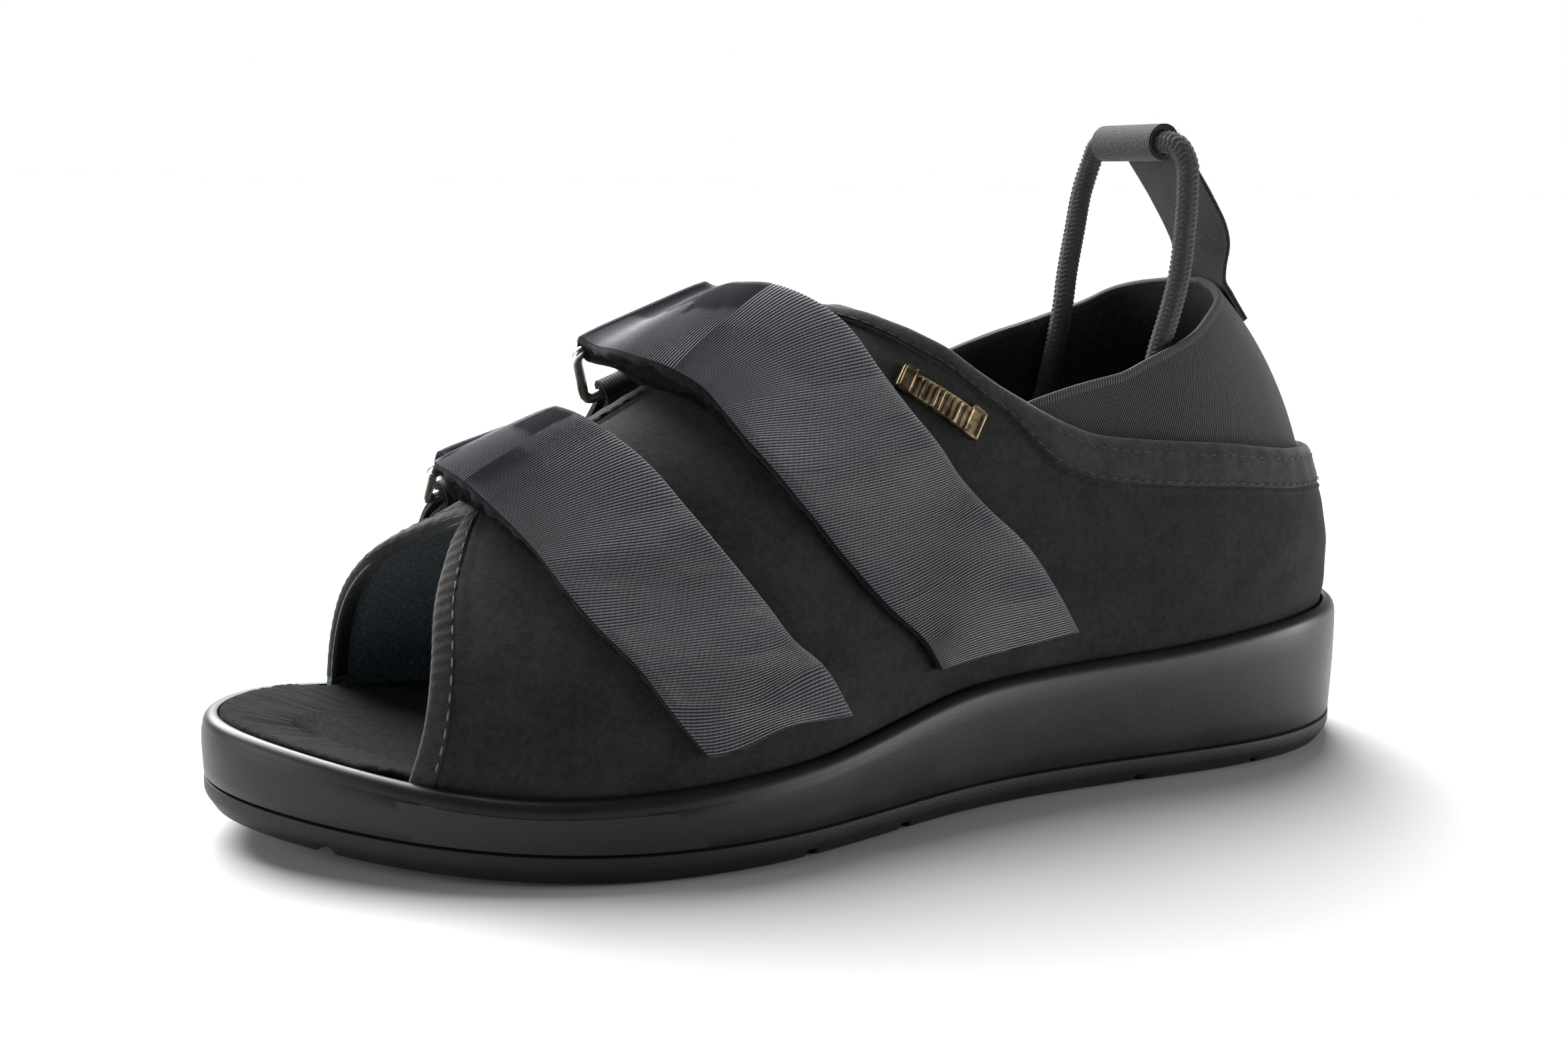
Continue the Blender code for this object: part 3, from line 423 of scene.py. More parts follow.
def rib_walk(side, share, top, count=120):
    """Angles up a rib to the top one given, and the length walked to each."""
    angles = np.linspace(0, top, count)
    return angles, walked(skin(side, side_way(side, share, angles), angles))


def rib(side, share):
    """Angles up a rib of the upper and a little past its edge, the length walked, and that at the edge."""
    edge = math.radians(float(flap_edge[side](share)))
    angles, length = rib_walk(side, share, edge + OVER_EDGE)
    return angles, length, np.interp(edge, angles, length)


def on_rib(side, share, height, lift):
    """Point over the upper at a height walked up its rib."""
    angles, length, _ = rib(side, share)
    angle = np.interp(height, length, angles)
    return raised(side, side_way(side, share, angle), angle, lift - sink(side, angle))


# Making pieces

def rest():
    if bpy.context.object and bpy.context.object.mode != "OBJECT":
        bpy.ops.object.mode_set(mode="OBJECT")
    bpy.ops.object.select_all(action="DESELECT")


def chosen(piece):
    rest()
    piece.select_set(True)
    bpy.context.view_layer.objects.active = piece


def values(items, name, width=1, kind=float):
    """One value of each item in a mesh's list, as an array."""
    flat = np.empty(len(items) * width, kind)
    items.foreach_get(name, flat)
    return flat.reshape(-1, width) if width > 1 else flat


def laid(name, columns, rows, place, finish, size=(1.0, 1.0)):
    """A grid laid out by a function of its two shares; its UV map holds real lengths."""
    rest()
    bpy.ops.mesh.primitive_grid_add(x_subdivisions=columns, y_subdivisions=rows, size=1)
    piece = bpy.context.object
    piece.name = name
    mesh = piece.data
    mesh.name = name
    u, v = values(mesh.vertices, "co", 3)[:, :2].T + 0.5
    i, j = np.rint(u * columns).astype(int), np.rint(v * rows).astype(int)
    table = np.empty((columns + 1, rows + 1, 3))
    for k in range(columns + 1):
        table[k] = place(k / columns, np.linspace(0, 1, rows + 1))
    mesh.vertices.foreach_set("co", table[i, j].ravel())
    corners = values(mesh.loops, "vertex_index", kind=int)
    lengths = np.stack([u[corners] * size[0], v[corners] * size[1]], 1)
    mesh.uv_layers[0].data.foreach_set("uv", lengths.ravel())
    mesh.update()
    if finish:
        piece.data.materials.append(finish)
    return piece


def wrapped(name, table, finish, size):
    """A grid laid out by a table of points, a row for each line along the piece."""
    last = table.shape[1] - 1
    return laid(name, last, len(table) - 1, lambda u, _: table[:, int(round(u * last))], finish, size)


def smoothed(piece, sharp):
    bpy.ops.object.shade_smooth_by_angle(angle=math.radians(sharp))
    return piece


def closed(piece, sharp=40):
    """Joins the grid's meeting edges, closes its ends and turns its faces outwards."""
    chosen(piece)
    bpy.ops.object.mode_set(mode="EDIT")
    bpy.ops.mesh.select_all(action="SELECT")
    bpy.ops.mesh.remove_doubles(threshold=0.000004)
    bpy.ops.mesh.fill_holes(sides=0)
    bpy.ops.mesh.select_all(action="SELECT")
    bpy.ops.mesh.normals_make_consistent(inside=False)
    bpy.ops.object.mode_set(mode="OBJECT")
    return smoothed(piece, sharp)


def thickened(piece, thickness, inner=None):
    """Gives a laid sheet its wall, inwards from its face."""
    chosen(piece)
    wall = piece.modifiers.new("wall", "SOLIDIFY")
    wall.thickness = thickness
    wall.offset = -1
    if inner:
        piece.data.materials.append(inner)
        wall.material_offset = 1
        wall.material_offset_rim = 1
    bpy.ops.object.modifier_apply(modifier=wall.name)
    return smoothed(piece, 50)


def swept(name, section, along, place, finish, girth, length, sharp=50):
    """A closed profile led along a line; place(share, a, b) gives a point for a profile's point."""
    section = np.vstack([section, section[:1]])
    a, b = section[:, 0], section[:, 1]
    piece = laid(name, along, len(section) - 1, lambda u, _: place(u, a, b), finish, (length, girth))
    return closed(piece, sharp)


def arc(centre, radius, first, last, steps):
    turn = np.radians(np.linspace(first, last, steps))
    return np.stack([centre[0] + radius * np.cos(turn), centre[1] + radius * np.sin(turn)], 1)


def copies(name, pattern, centres, ahead, out, finish, scale):
    """One mesh of a small shape repeated at many places, its X led ahead and its Z out."""
    points, faces = pattern
    centres, ahead = np.asarray(centres), unit(np.asarray(ahead))
    out = unit(out - ahead * np.sum(out * ahead, axis=1, keepdims=True))
    axes = np.stack([ahead, np.cross(out, ahead), out], 1)
    sized = points[None] * np.asarray(scale)[:, None]
    made = centres[:, None]
    for axis in range(3):
        made = made + axes[:, None, axis] * sized[:, :, axis:axis + 1]
    all_faces = [tuple(index + k * len(points) for index in face)
                 for k in range(len(centres)) for face in faces]
    mesh = bpy.data.meshes.new(name)
    mesh.from_pydata(made.reshape(-1, 3).tolist(), [], all_faces)
    mesh.shade_smooth()
    mesh.materials.append(finish)
    piece = bpy.data.objects.new(name, mesh)
    bpy.context.scene.collection.objects.link(piece)
    return piece


def pattern_of(piece):
    """Points and faces of a small model, which is then taken away."""
    mesh = piece.data
    points = np.array([vertex.co[:] for vertex in mesh.vertices])
    faces = [tuple(face.vertices) for face in mesh.polygons]
    bpy.data.objects.remove(piece, do_unlink=True)
    return points, faces


def thread_pattern():
    """One stitch: a small rod with sunk round ends, 1 long and 1 thick."""
    rest()
    bpy.ops.mesh.primitive_uv_sphere_add(segments=6, ring_count=5, radius=0.5, rotation=(0, math.pi / 2, 0))
    bpy.ops.object.transform_apply(location=False, rotation=True, scale=False)
    return pattern_of(bpy.context.object)


def hair_pattern():
    """One hair: a thin bent spike standing on its root, 1 high."""
    def place(u, v):
        thick = 0.5 - 0.38 * u
        turn = 2 * math.pi * v
        return np.stack([1.6 * u ** 2 + thick * np.cos(turn), thick * np.sin(turn), 0 * v + u], 1)

    return pattern_of(closed(laid("hair", 2, 3, place, None)))


def curl_pattern():
    """One curly hair, 1 high."""
    def place(u, v):
        thick = 0.035 * (1 - 0.5 * u)
        turn = 2 * math.pi * v
        return np.stack([0.20 * math.sin(u * 7) + thick * np.cos(turn),
                         0.20 * (1 - math.cos(u * 7)) + thick * np.sin(turn), 0 * v + u], 1)

    return pattern_of(closed(laid("curl", 5, 3, place, None)))


# Finishes

class Nodes:
    """Short ways to add nodes to the node tree of a material or a world."""

    def __init__(self, owner):
        owner.use_nodes = True
        self.owner, self.nodes, self.links = owner, owner.node_tree.nodes, owner.node_tree.links

    def feed(self, socket, value):
        """Links a socket to another one, or sets its number or colour."""
        if isinstance(value, bpy.types.NodeSocket):
            self.links.new(value, socket)
        else:
            socket.default_value = (*value, 1) if isinstance(value, tuple) else value

    def add(self, kind, *values, **named):
        """A new node with its first sockets fed in turn, and others by name."""
        made = self.nodes.new("ShaderNode" + kind)
        for socket, value in zip(made.inputs, values):
            self.feed(socket, value)
        for name, value in named.items():
            self.feed(made.inputs[name], value)
        return made

    def coordinates(self, name):
        return self.add("TexCoord").outputs[name]

    def parts(self, name):
        return self.add("SeparateXYZ", self.coordinates(name)).outputs

    def noise(self, scale, detail, rough):
        place = self.coordinates("Object")
        made = self.add("TexNoise", Vector=place, Scale=scale, Detail=detail, Roughness=rough)
        return made.outputs["Fac"]

    def maths(self, kind, *values):
        made = self.add("Math", *values)
        made.operation = kind
        return made.outputs[0]

    def times_plus(self, first, second, third):
        return self.maths("MULTIPLY_ADD", first, second, third)

    def ramp(self, source, *stops):
        made = self.add("ValToRGB", Fac=source)
        elements = made.color_ramp.elements
        for element, (position, colour) in zip(elements, stops):
            element.position = position
            element.color = (*colour, 1) if isinstance(colour, tuple) else (colour, colour, colour, 1)
        return made.outputs["Color"]

    def blend(self, first, second, share, kind="MIX"):
        made = self.nodes.new("ShaderNodeMix")
        made.data_type = "RGBA"
        made.blend_type = kind
        sockets = [socket for socket in made.inputs if socket.enabled]
        for socket, value in zip(sockets, (share, first, second)):
            self.feed(socket, value)
        return [socket for socket in made.outputs if socket.enabled][0]

    def wave(self, source, pitch, shift=None, shift_size=0.0):
        """A wave from 0 to 1 along a length, which may lean with a second one."""
        turned = self.maths("MULTIPLY", source, 2 * math.pi / pitch)
        if shift is not None:
            turned = self.times_plus(shift, 2 * math.pi / shift_size, turned)
        return self.times_plus(self.maths("COSINE", turned), 0.5, 0.5)

    def sine(self, source, pitch):
        return self.maths("SINE", self.maths("MULTIPLY", source, 2 * math.pi / pitch))


class Finish(Nodes):
    """A material, its shader set by the names of its sockets."""

    def __init__(self, name, **settings):
        super().__init__(bpy.data.materials.new(name))
        self.shader = self.nodes["Principled BSDF"]
        for key, value in settings.items():
            self.feed(self.shader.inputs[key.replace("_", " ")], value)

    def done(self, colour, height=None, depth=0.0, strength=1.0):
        """Gives the shader its colour and its relief, and returns the material."""
        self.feed(self.shader.inputs["Base Color"], colour)
        if height is not None:
            relief = self.add("Bump", Distance=depth, Strength=strength, Height=height)
            self.feed(self.shader.inputs["Normal"], relief.outputs["Normal"])
        return self.owner


def scaled(colour, share):
    return tuple(part * share for part in colour)


def suede_finish(name, dark, light, sheen):
    """Microfibre suede: short nap that turns light and dark in blotches, with fine grain."""
    made = Finish(name, Roughness=0.95, Specular_IOR_Level=0.18, Sheen_Weight=sheen, Sheen_Roughness=0.45,
                  Sheen_Tint=(0.85, 0.85, 0.80))
    blotch = made.noise(90, 3, 0.55)
    nap = made.noise(650, 4, 0.65)
    grain = made.noise(2600, 3, 0.7)
    mixed = made.times_plus(nap, 0.55, made.maths("MULTIPLY", blotch, 0.45))
    base = made.ramp(mixed, (0.30, dark), (0.70, light))
    speck = made.ramp(grain, (0.30, 0.72), (0.75, 1.22))
    return made.done(made.blend(base, speck, 1.0, "MULTIPLY"), made.times_plus(grain, 0.5, nap), 0.00022, 0.9)


def sole_finish(name, colour, rough, grain_size, grain_depth):
    """Moulded rubber or foam: satin, with a fine skin, a few pits and rubbed patches."""
    made = Finish(name, Specular_IOR_Level=0.26)
    grain = made.noise(grain_size, 2, 0.5)
    patches = made.noise(55, 5, 0.6)
    dirt = made.noise(700, 3, 0.6)
    tone = made.ramp(patches, (0.35, colour), (0.70, scaled(colour, 1.45)))
    dust = made.ramp(dirt, (0.66, 0.0), (0.76, 1.0))
    made.feed(made.shader.inputs["Roughness"], made.times_plus(patches, 0.22, rough - 0.08))
    return made.done(made.blend(tone, scaled(colour, 3.0), dust), grain, grain_depth, 0.8)


def knit_finish(name, dark, light, pitch):
    """Ribbed knit: the ribs are in the mesh, their slanting loops and the tone are here; the tone is darker
    between crests and loops, painted shade in the grooves.
    """
    made = Finish(name, Roughness=0.85, Specular_IOR_Level=0.10, Sheen_Weight=0.42, Sheen_Roughness=0.35)
    across, along, _ = made.parts("UV")
    crest = made.wave(along, pitch)
    loops = made.wave(across, pitch * 1.25, along, pitch * 2)
    fuzz = made.noise(2600, 3, 0.7)
    patches = made.noise(110, 4, 0.6)
    # The colour follows the rib crests and loops and is darker between them: painted shade in the grooves.
    # The patches and fuzz are the knit's own tone.
    threads_and_groove_shade = made.maths("MULTIPLY", made.maths("POWER", crest, 1.2), made.times_plus(loops, 0.25, 0.75))
    tone = made.times_plus(patches, 0.20, made.times_plus(fuzz, 0.35, threads_and_groove_shade))
    colour = made.ramp(made.maths("MULTIPLY", tone, 0.7), (0.18, dark), (0.85, light))
    return made.done(colour, made.times_plus(fuzz, 0.8, threads_and_groove_shade), 0.00016, 0.9)


def pile_finish(name, colour, scale, sheen=0.2):
    """Soft black pile or terry."""
    made = Finish(name, Roughness=0.97, Specular_IOR_Level=0.1, Sheen_Weight=sheen)
    tufts = made.noise(scale, 4, 0.7)
    tone = made.ramp(tufts, (0.30, scaled(colour, 0.45)), (0.70, scaled(colour, 1.8)))
    return made.done(tone, tufts, 0.6 / scale)


def band_finish(name, dark, light, pitch, lean=0.0):
    """Woven elastic or tape with fine ribs that run along its UV map's second way; its tone follows the rib
    height, with painted shade in the valleys.
    """
    made = Finish(name, Roughness=0.85, Specular_IOR_Level=0.25, Sheen_Weight=0.2)
    across, along, _ = made.parts("UV")
    ribs = made.sine(made.times_plus(along, lean, across), pitch)
    height = made.times_plus(made.sine(along, pitch * 1.3), 0.25, ribs)
    height = made.times_plus(made.noise(2200, 3, 0.7), 0.9, height)
    # The tone follows the relief height and is darker in the rib valleys: painted shade there. The noise
    # flecks are the band's own.
    tone = made.ramp(made.times_plus(height, 0.3, 0.35), (0.05, dark), (0.95, light))
    return made.done(tone, height, 0.00012, 0.9)


def metal_finish(name, colour, rough, stain, stain_share):
    made = Finish(name, Metallic=1.0)
    worn = made.noise(260, 5, 0.65)
    tone = made.ramp(worn, (0.5 - stain_share, stain), (0.5 + stain_share, colour))
    made.feed(made.shader.inputs["Roughness"], made.times_plus(worn, 0.22, rough - 0.09))
    return made.done(tone, made.noise(1800, 2, 0.5), 0.00003, 0.6)


def thread_finish(name, colour):
    made = Finish(name, Roughness=0.75)
    twist = made.noise(5200, 2, 0.5)
    return made.done(made.ramp(twist, (0.30, scaled(colour, 0.6)), (0.75, scaled(colour, 1.3))))


RIB_PITCH = 0.00067
SUEDE = suede_finish("suede", (0.0048, 0.0054, 0.0051), (0.0228, 0.0247, 0.0218), 0.07)
BOUND = suede_finish("suede_binding", (0.0100, 0.0106, 0.0098), (0.0350, 0.0360, 0.0328), 0.20)
# The lining's colour is raised far over the cloth's own: painted light, standing in for light that does not
# reach inside the toe opening.
LINING = pile_finish("lining", (0.1200, 0.1550, 0.1750), 1400, 0.1)
RUBBER = sole_finish("sole_rubber", (0.0075, 0.0075, 0.0078), 0.50, 2300, 0.00012)
FOAM = sole_finish("sole_foam", (0.0080, 0.0080, 0.0083), 0.37, 1500, 0.00003)
TERRY = pile_finish("footbed_terry", (0.0029, 0.0031, 0.0044), 2400, 0.03)
KNIT = knit_finish("strap_knit", (0.006, 0.006, 0.0078), (0.140, 0.137, 0.156), RIB_PITCH)
PILE = pile_finish("strap_pile", (0.0038, 0.0045, 0.0056), 1700, 0.06)
WEB = band_finish("elastic", (0.0030, 0.0030, 0.0036), (0.0230, 0.0235, 0.0270), 0.00062, -0.25)
HEM = band_finish("elastic_hem", (0.009, 0.009, 0.010), (0.042, 0.042, 0.046), 0.00062)
TAPE = band_finish("tape", (0.0018, 0.0018, 0.0025), (0.0070, 0.0070, 0.0090), 0.0007)
NICKEL = metal_finish("nickel", (0.72, 0.70, 0.66), 0.20, (0.50, 0.47, 0.42), 0.22)
BRASS = metal_finish("old_brass", (0.32, 0.24, 0.150), 0.38, (0.020, 0.015, 0.010), 0.16)
BRAID = pile_finish("braided_cord", (0.0330, 0.0330, 0.0350), 2600)
THREAD = thread_finish("thread", (0.020, 0.020, 0.022))
# A lighter copy of the stitch thread for the toe stitches; its lightness is a painted glint.
GLINT_THREAD = thread_finish("thread_painted_glint", (0.110, 0.112, 0.120))


def belongs(piece, slot, *nodes):
    """Puts a finished piece on the shoe."""
    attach(piece, "root")
    if nodes:
        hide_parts(*nodes)
    return piece


# Sole

def sole_piece(name, profile, finish, stations, top=22, bottom=22):
    """Sole part: profile rows give an inset of the outline and a height function, bottom to top."""
    rows = []
    for inset, height in profile:
        outer, inner = halves(inset_outline(inset))
        x = outer[0, 0] + stations * (outer[-1, 0] - outer[0, 0])
        rows.append([np.column_stack([x, np.interp(x, half[:, 0], half[:, 1]), height(x)])
                     for half in (outer, inner)])
    line = [row[0] for row in rows]
    line += [rows[-1][0] * (1 - t) + rows[-1][1] * t for t in np.linspace(0, 1, top + 1)[1:-1]]
    line += [row[1] for row in rows[::-1]]
    line += [rows[0][1] * (1 - t) + rows[0][0] * t for t in np.linspace(0, 1, bottom + 1)[1:]]
    return wrapped(name, np.array(line), finish, (LENGTH, 0.3))


def round_stations(count):
    return 0.5 - 0.5 * np.cos(np.pi * np.linspace(0, 1, count + 1))


def tread(x):
    """Rise of the underside in its grooves."""
    share = share_of(x)
    rise = 0 * x
    for groove in GROOVES:
        off = np.abs(share - groove) * LENGTH
        rise = np.maximum(rise, GROOVE_DEPTH * smooth((GROOVE_WIDTH / 2 + 0.0002 - off) / 0.0005))
    return rise


def make_outsole():
    base = round_stations(300)
    edges = [groove + off / LENGTH for groove in GROOVES
             for off in np.linspace(-0.0018, 0.0018, 15)]
    stations = np.unique(np.concatenate([base, edges]))
    profile = [
        (EDGE_CHAMFER, lambda x: ground_clear(x) + tread(x)),
        (EDGE_CHAMFER * 0.62, lambda x: ground_clear(x) + OUTSOLE * 0.07 + tread(x) * 0.7),
        (EDGE_CHAMFER * 0.22, lambda x: ground_clear(x) + OUTSOLE * 0.36),
        (EDGE_CHAMFER * 0.08, lambda x: ground_clear(x) + OUTSOLE * 0.47),
        (0.0, lambda x: ground_clear(x) + OUTSOLE * 0.60),
        (0.0, lambda x: ground_clear(x) + OUTSOLE - PARTING * 1.4),
        (PARTING * 0.15, lambda x: ground_clear(x) + OUTSOLE - PARTING * 0.3),
        (PARTING * 0.6, lambda x: ground_clear(x) + OUTSOLE),
    ]
    piece = closed(sole_piece("outsole_rubber", profile, RUBBER, stations), 35)
    return belongs(piece, "sole_rubber", "outsole")


def make_midsole():
    def foot(x):
        return ground_clear(x) + OUTSOLE + GAP

    def level(up):
        return lambda x: foot(x) + up * (sole_top(x) - foot(x))

    profile = [(RIM * 0.16, level(0.0)), (RIM * 0.07, level(0.012)), (RIM * 0.02, level(0.03)),
               (-RIM * 0.01, level(0.20)), (-RIM * 0.05, level(0.45)), (-RIM * 0.02, level(0.70)),
               (RIM * 0.03, lambda x: sole_top(x) - 0.0034)]
    for turn in np.linspace(0, 1, 7):
        inset = RIM * (0.06 + 0.74 * (1 - math.cos(turn * math.pi / 2)))
        drop = 0.0030 * (1 - math.sin(turn * math.pi / 2))
        profile.append((inset, lambda x, drop=drop: sole_top(x) - drop))
    profile.append((RIM * 0.95, lambda x: sole_top(x) - GAP * 0.6))
    profile.append((RIM, lambda x: sole_top(x) - GAP * 2))
    profile.append((RIM, lambda x: sole_top(x) - RECESS))
    piece = closed(sole_piece("midsole_foam", profile, FOAM, round_stations(300)), 35)
    return belongs(piece, "sole_foam", "midsole")


TERRY_FROM = 0.0016
TERRY_TUFT = 0.00022


def make_insole():
    x = OUTLINE_LOOP[:, 0]
    outer_side = OUTLINE_LOOP[:, 1] > TOE_TIP * BALL_WIDTH
    front = np.where(outer_side, at_share(TOE_EDGE[0][1]), at_share(TOE_EDGE[0][2]))
    open_toe = smooth((x - front - GAP) / (2 * WALL + RIM) - 0.5)
    beside = RIM + GAP + (1 - open_toe) * (WALL + 2 * GAP)
    profile = [
        (beside, lambda x: sole_top(x) - RECESS + GAP),
        (beside, lambda x: sole_top(x) - GAP),
        (beside + 0.0003, lambda x: sole_top(x) + 0.0002),
        (beside + 0.0010, lambda x: sole_top(x) + 0.0006),
        (beside + 0.0030, lambda x: sole_top(x) + 0.0004),
        (beside + 0.0060, lambda x: sole_top(x) + 0.0001),
        (beside + 0.0150, lambda x: sole_top(x) - 0.0012),
    ]
    piece = sole_piece("insole_terry", profile, TERRY, round_stations(300), top=60, bottom=12)
    closed(piece, 60)
    rng = np.random.default_rng(11)
    points = values(piece.data.vertices, "co", 3)
    upward = points[:, 2] > sole_top(points[:, 0]) - TERRY_FROM
    points[:, 2] += np.where(upward, rng.uniform(-TERRY_TUFT, TERRY_TUFT, len(points)), 0)
    piece.data.vertices.foreach_set("co", points.ravel())
    piece.data.update()
    return belongs(piece, "footbed_terry", "insole")


# Upper

# Creases of the upper: side, share along it, height up the rib in mm, slope, length, width and depth in mm
CREASES = (
    (OUTER, 0.560, 8, 0.35, 20, 2.6, 0.55),
    (OUTER, 0.640, 14, 0.75, 18, 2.8, 0.60),
    (OUTER, 0.815, 22, 1.30, 26, 3.2, 0.60),
    (OUTER, 0.860, 34, 1.20, 20, 3.0, 0.50),
    (OUTER, 0.300, 12, 0.25, 26, 3.6, 0.45),
    (OUTER, 0.180, 16, -0.10, 18, 3.0, 0.40),
    (INNER, 0.520, 14, 0.40, 24, 3.0, 0.60),
    (INNER, 0.640, 18, 0.70, 22, 2.8, 0.60),
    (INNER, 0.830, 24, 1.20, 26, 3.2, 0.60),
    (INNER, 0.260, 12, 0.20, 24, 3.4, 0.45),
)


def crease_depth(side, share, height):
    """Sum of the creases at a place: each is a soft valley between two low ridges."""
    depth = 0 * height
    for crease_side, at, up, slope, length, width, deep in CREASES:
        if crease_side != side:
            continue
        along = (share - at) * front_way(side, 0.0) / MM
        rise = height / MM - up
        size = math.hypot(1, slope)
        run = (along + rise * slope) / size
        off = (rise - along * slope) / size + 0.12 * run * run / length
        fade = np.exp(-(run / length * 2) ** 2)
        ridges = np.exp(-((np.abs(off) - 2.1 * width) / (1.3 * width)) ** 2)
        valley = np.exp(-(off / width) ** 2) - 0.45 * ridges
        depth = depth - deep * MM * fade * valley
    return depth


def both_sides(u):
    """Side and share for a run from the outer toe opening round the heel to the inner one."""
    return (OUTER, 1 - 2 * u) if u <= 0.5 else (INNER, 2 * u - 1)


SEAM_RIDGE = 0.00055


def make_upper():
    waves = np.random.default_rng(5).uniform(0, 2 * math.pi, 12)

    def place(u, v):
        side, share = both_sides(u)
        _, _, edge = rib(side, share)
        seam_height = edge - band_width(share)
        top_rows = (v - 0.66) / 0.34
        height = np.where(v < 0.66, v / 0.66 * (seam_height - 0.0045),
                          seam_height - 0.0045 + top_rows * (band_width(share) + 0.0036))
        soft = 0 * v
        for k in range(6):
            soft = soft + np.sin(u * (26 + 17 * k) + v * (5 + 4 * k) + waves[k]) * 0.00016 / (1 + 0.4 * k)
        keep = smooth(height / 0.006) * smooth((edge - height) / 0.006)
        below = seam_height - height
        toe_side = (1 - share) * front_way(side, 0.0) - BINDING
        ridge = np.exp(-((below - 0.0009) / 0.0005) ** 2) * smooth(toe_side / 0.002)
        ridge = np.maximum(ridge, math.exp(-((toe_side - 0.0009) / 0.0006) ** 2) * smooth(below / 0.002))
        lift = (crease_depth(side, share, height) + soft) * keep + ridge * SEAM_RIDGE
        return on_rib(side, share, height, lift)

    piece = laid("upper_suede", 350, 70, place, SUEDE, (0.52, 0.11))
    thickened(piece, WALL, LINING)
    return belongs(piece, "suede", "upper")


# Binding over an edge: length back from the edge and height over the skin, in mm, out and in again
ROLL = np.array((
    (5.6, -0.30), (5.45, 0.25), (5.1, 0.62), (4.4, 0.84), (3.2, 0.96), (2.0, 0.98), (1.1, 0.90), (0.4, 0.60),
    (0.0, 0.10), (-0.12, -0.70), (-0.10, -1.40), (0.15, -2.20), (0.7, -2.62), (1.8, -2.80), (3.2, -2.75),
    (4.2, -2.55), (4.5, -2.10), (4.5, -1.20),
)) * MM


def band_width(share):
    return BINDING + (COLLAR_BAND - BINDING) * smooth((0.47 - share) / 0.05)


def make_top_binding():
    def place(u, a, b):
        side, share = both_sides(u)
        _, _, edge = rib(side, share)
        back = np.where(a > 0, a * band_width(share) / BINDING, a)
        ripple = 0.00007 * math.sin(u * 420) * np.where(b > 0, 1, 0)
        return on_rib(side, share, edge - back, b + ripple)

    piece = swept("upper_binding", ROLL, 640, place, BOUND, length=0.5, girth=0.016)
    return belongs(piece, "suede")


def toe_back(side, back, angle, lift):
    """Point over the upper at a length back from its toe opening."""
    share = 1 - back / front_way(side, 0.0)
    return raised(side, side_way(side, share, angle), angle, lift - sink(side, angle))


def make_toe_binding(side, name):
    edge = math.radians(float(flap_edge[side](1.0)))

    def place(u, a, b):
        angle = np.full(len(a), math.radians(3.4) + u * (edge - math.radians(3.4)))
        ripple = 0.00007 * math.sin(u * 170) * np.where(b > 0, 1, 0)
        return toe_back(side, a, angle, b + ripple)

    return belongs(swept(name, ROLL, 220, place, BOUND, length=0.12, girth=0.016), "suede")


def seam(name, points, out, pitch, stitch, width, finish=THREAD):
    """A row of stitches along a line of points on a surface."""
    length = walked(points)
    places = np.arange(pitch, length[-1] - pitch, pitch)
    centres = resampled(points, places)
    ahead = resampled(points, places + pitch / 4) - resampled(points, places - pitch / 4)
    outs = np.stack([np.interp(places, length, out[:, axis]) for axis in range(3)], 1)
    scale = np.tile((stitch, width, width * 0.8), (len(places), 1))
    return belongs(copies(name, STITCH, centres, ahead, outs, finish, scale), "suede")


def rib_line(first, last, back, lift, count=260):
    """Line at a length under the top edge, from a share on the outer side round to one on the inner."""
    points, outs = [], []
    for u in np.linspace(first, last, count):
        side, share = both_sides(u)
        angles, length, edge = rib(side, share)
        angle = np.interp(edge - back(share), length, angles)
        way = side_way(side, share, angle)
        outs.append(normal(side, way, angle))
        points.append(raised(side, way, angle, lift - sink(side, angle)))
    return np.array(points), np.array(outs)


def make_upper_seams():
    points, outs = rib_line(0.005, 0.995, lambda share: band_width(share) * 0.93, 0.00088)
    seam("binding_stitches_0", points, outs, 0.0031, 0.0023, 0.00042)
    points, outs = rib_line(0.285, 0.715, lambda share: 0.0030, 0.00105)
    seam("collar_stitches", points, outs, 0.0031, 0.0023, 0.00042)
    for side, name in ((OUTER, "outer"), (INNER, "inner")):
        edge = math.radians(float(flap_edge[side](1.0)))
        angles = np.linspace(math.radians(5), edge - math.radians(6), 160)
        share = 1 - 0.0050 / front_way(side, 0.0)
        way = side_way(side, share, angles)
        points = raised(side, way, angles, 0.0009 - sink(side, angles))
        # The toe stitches take the lighter thread copy, a painted glint.
        seam(f"toe_stitches_{name}", points, normal(side, way, angles), 0.0036, 0.0022, 0.00040, GLINT_THREAD)


# Hem of the elastic, round its profile: length down from its top edge and height over its face, in mm
FOLD = np.array((
    (2.2, 0.02), (2.0, 0.14), (1.0, 0.20), (0.3, 0.16), (0.0, -0.1), (-0.12, -0.8), (0.0, -1.5),
    (0.5, -1.85), (2.0, -1.8), (2.2, -0.8),
)) * MM


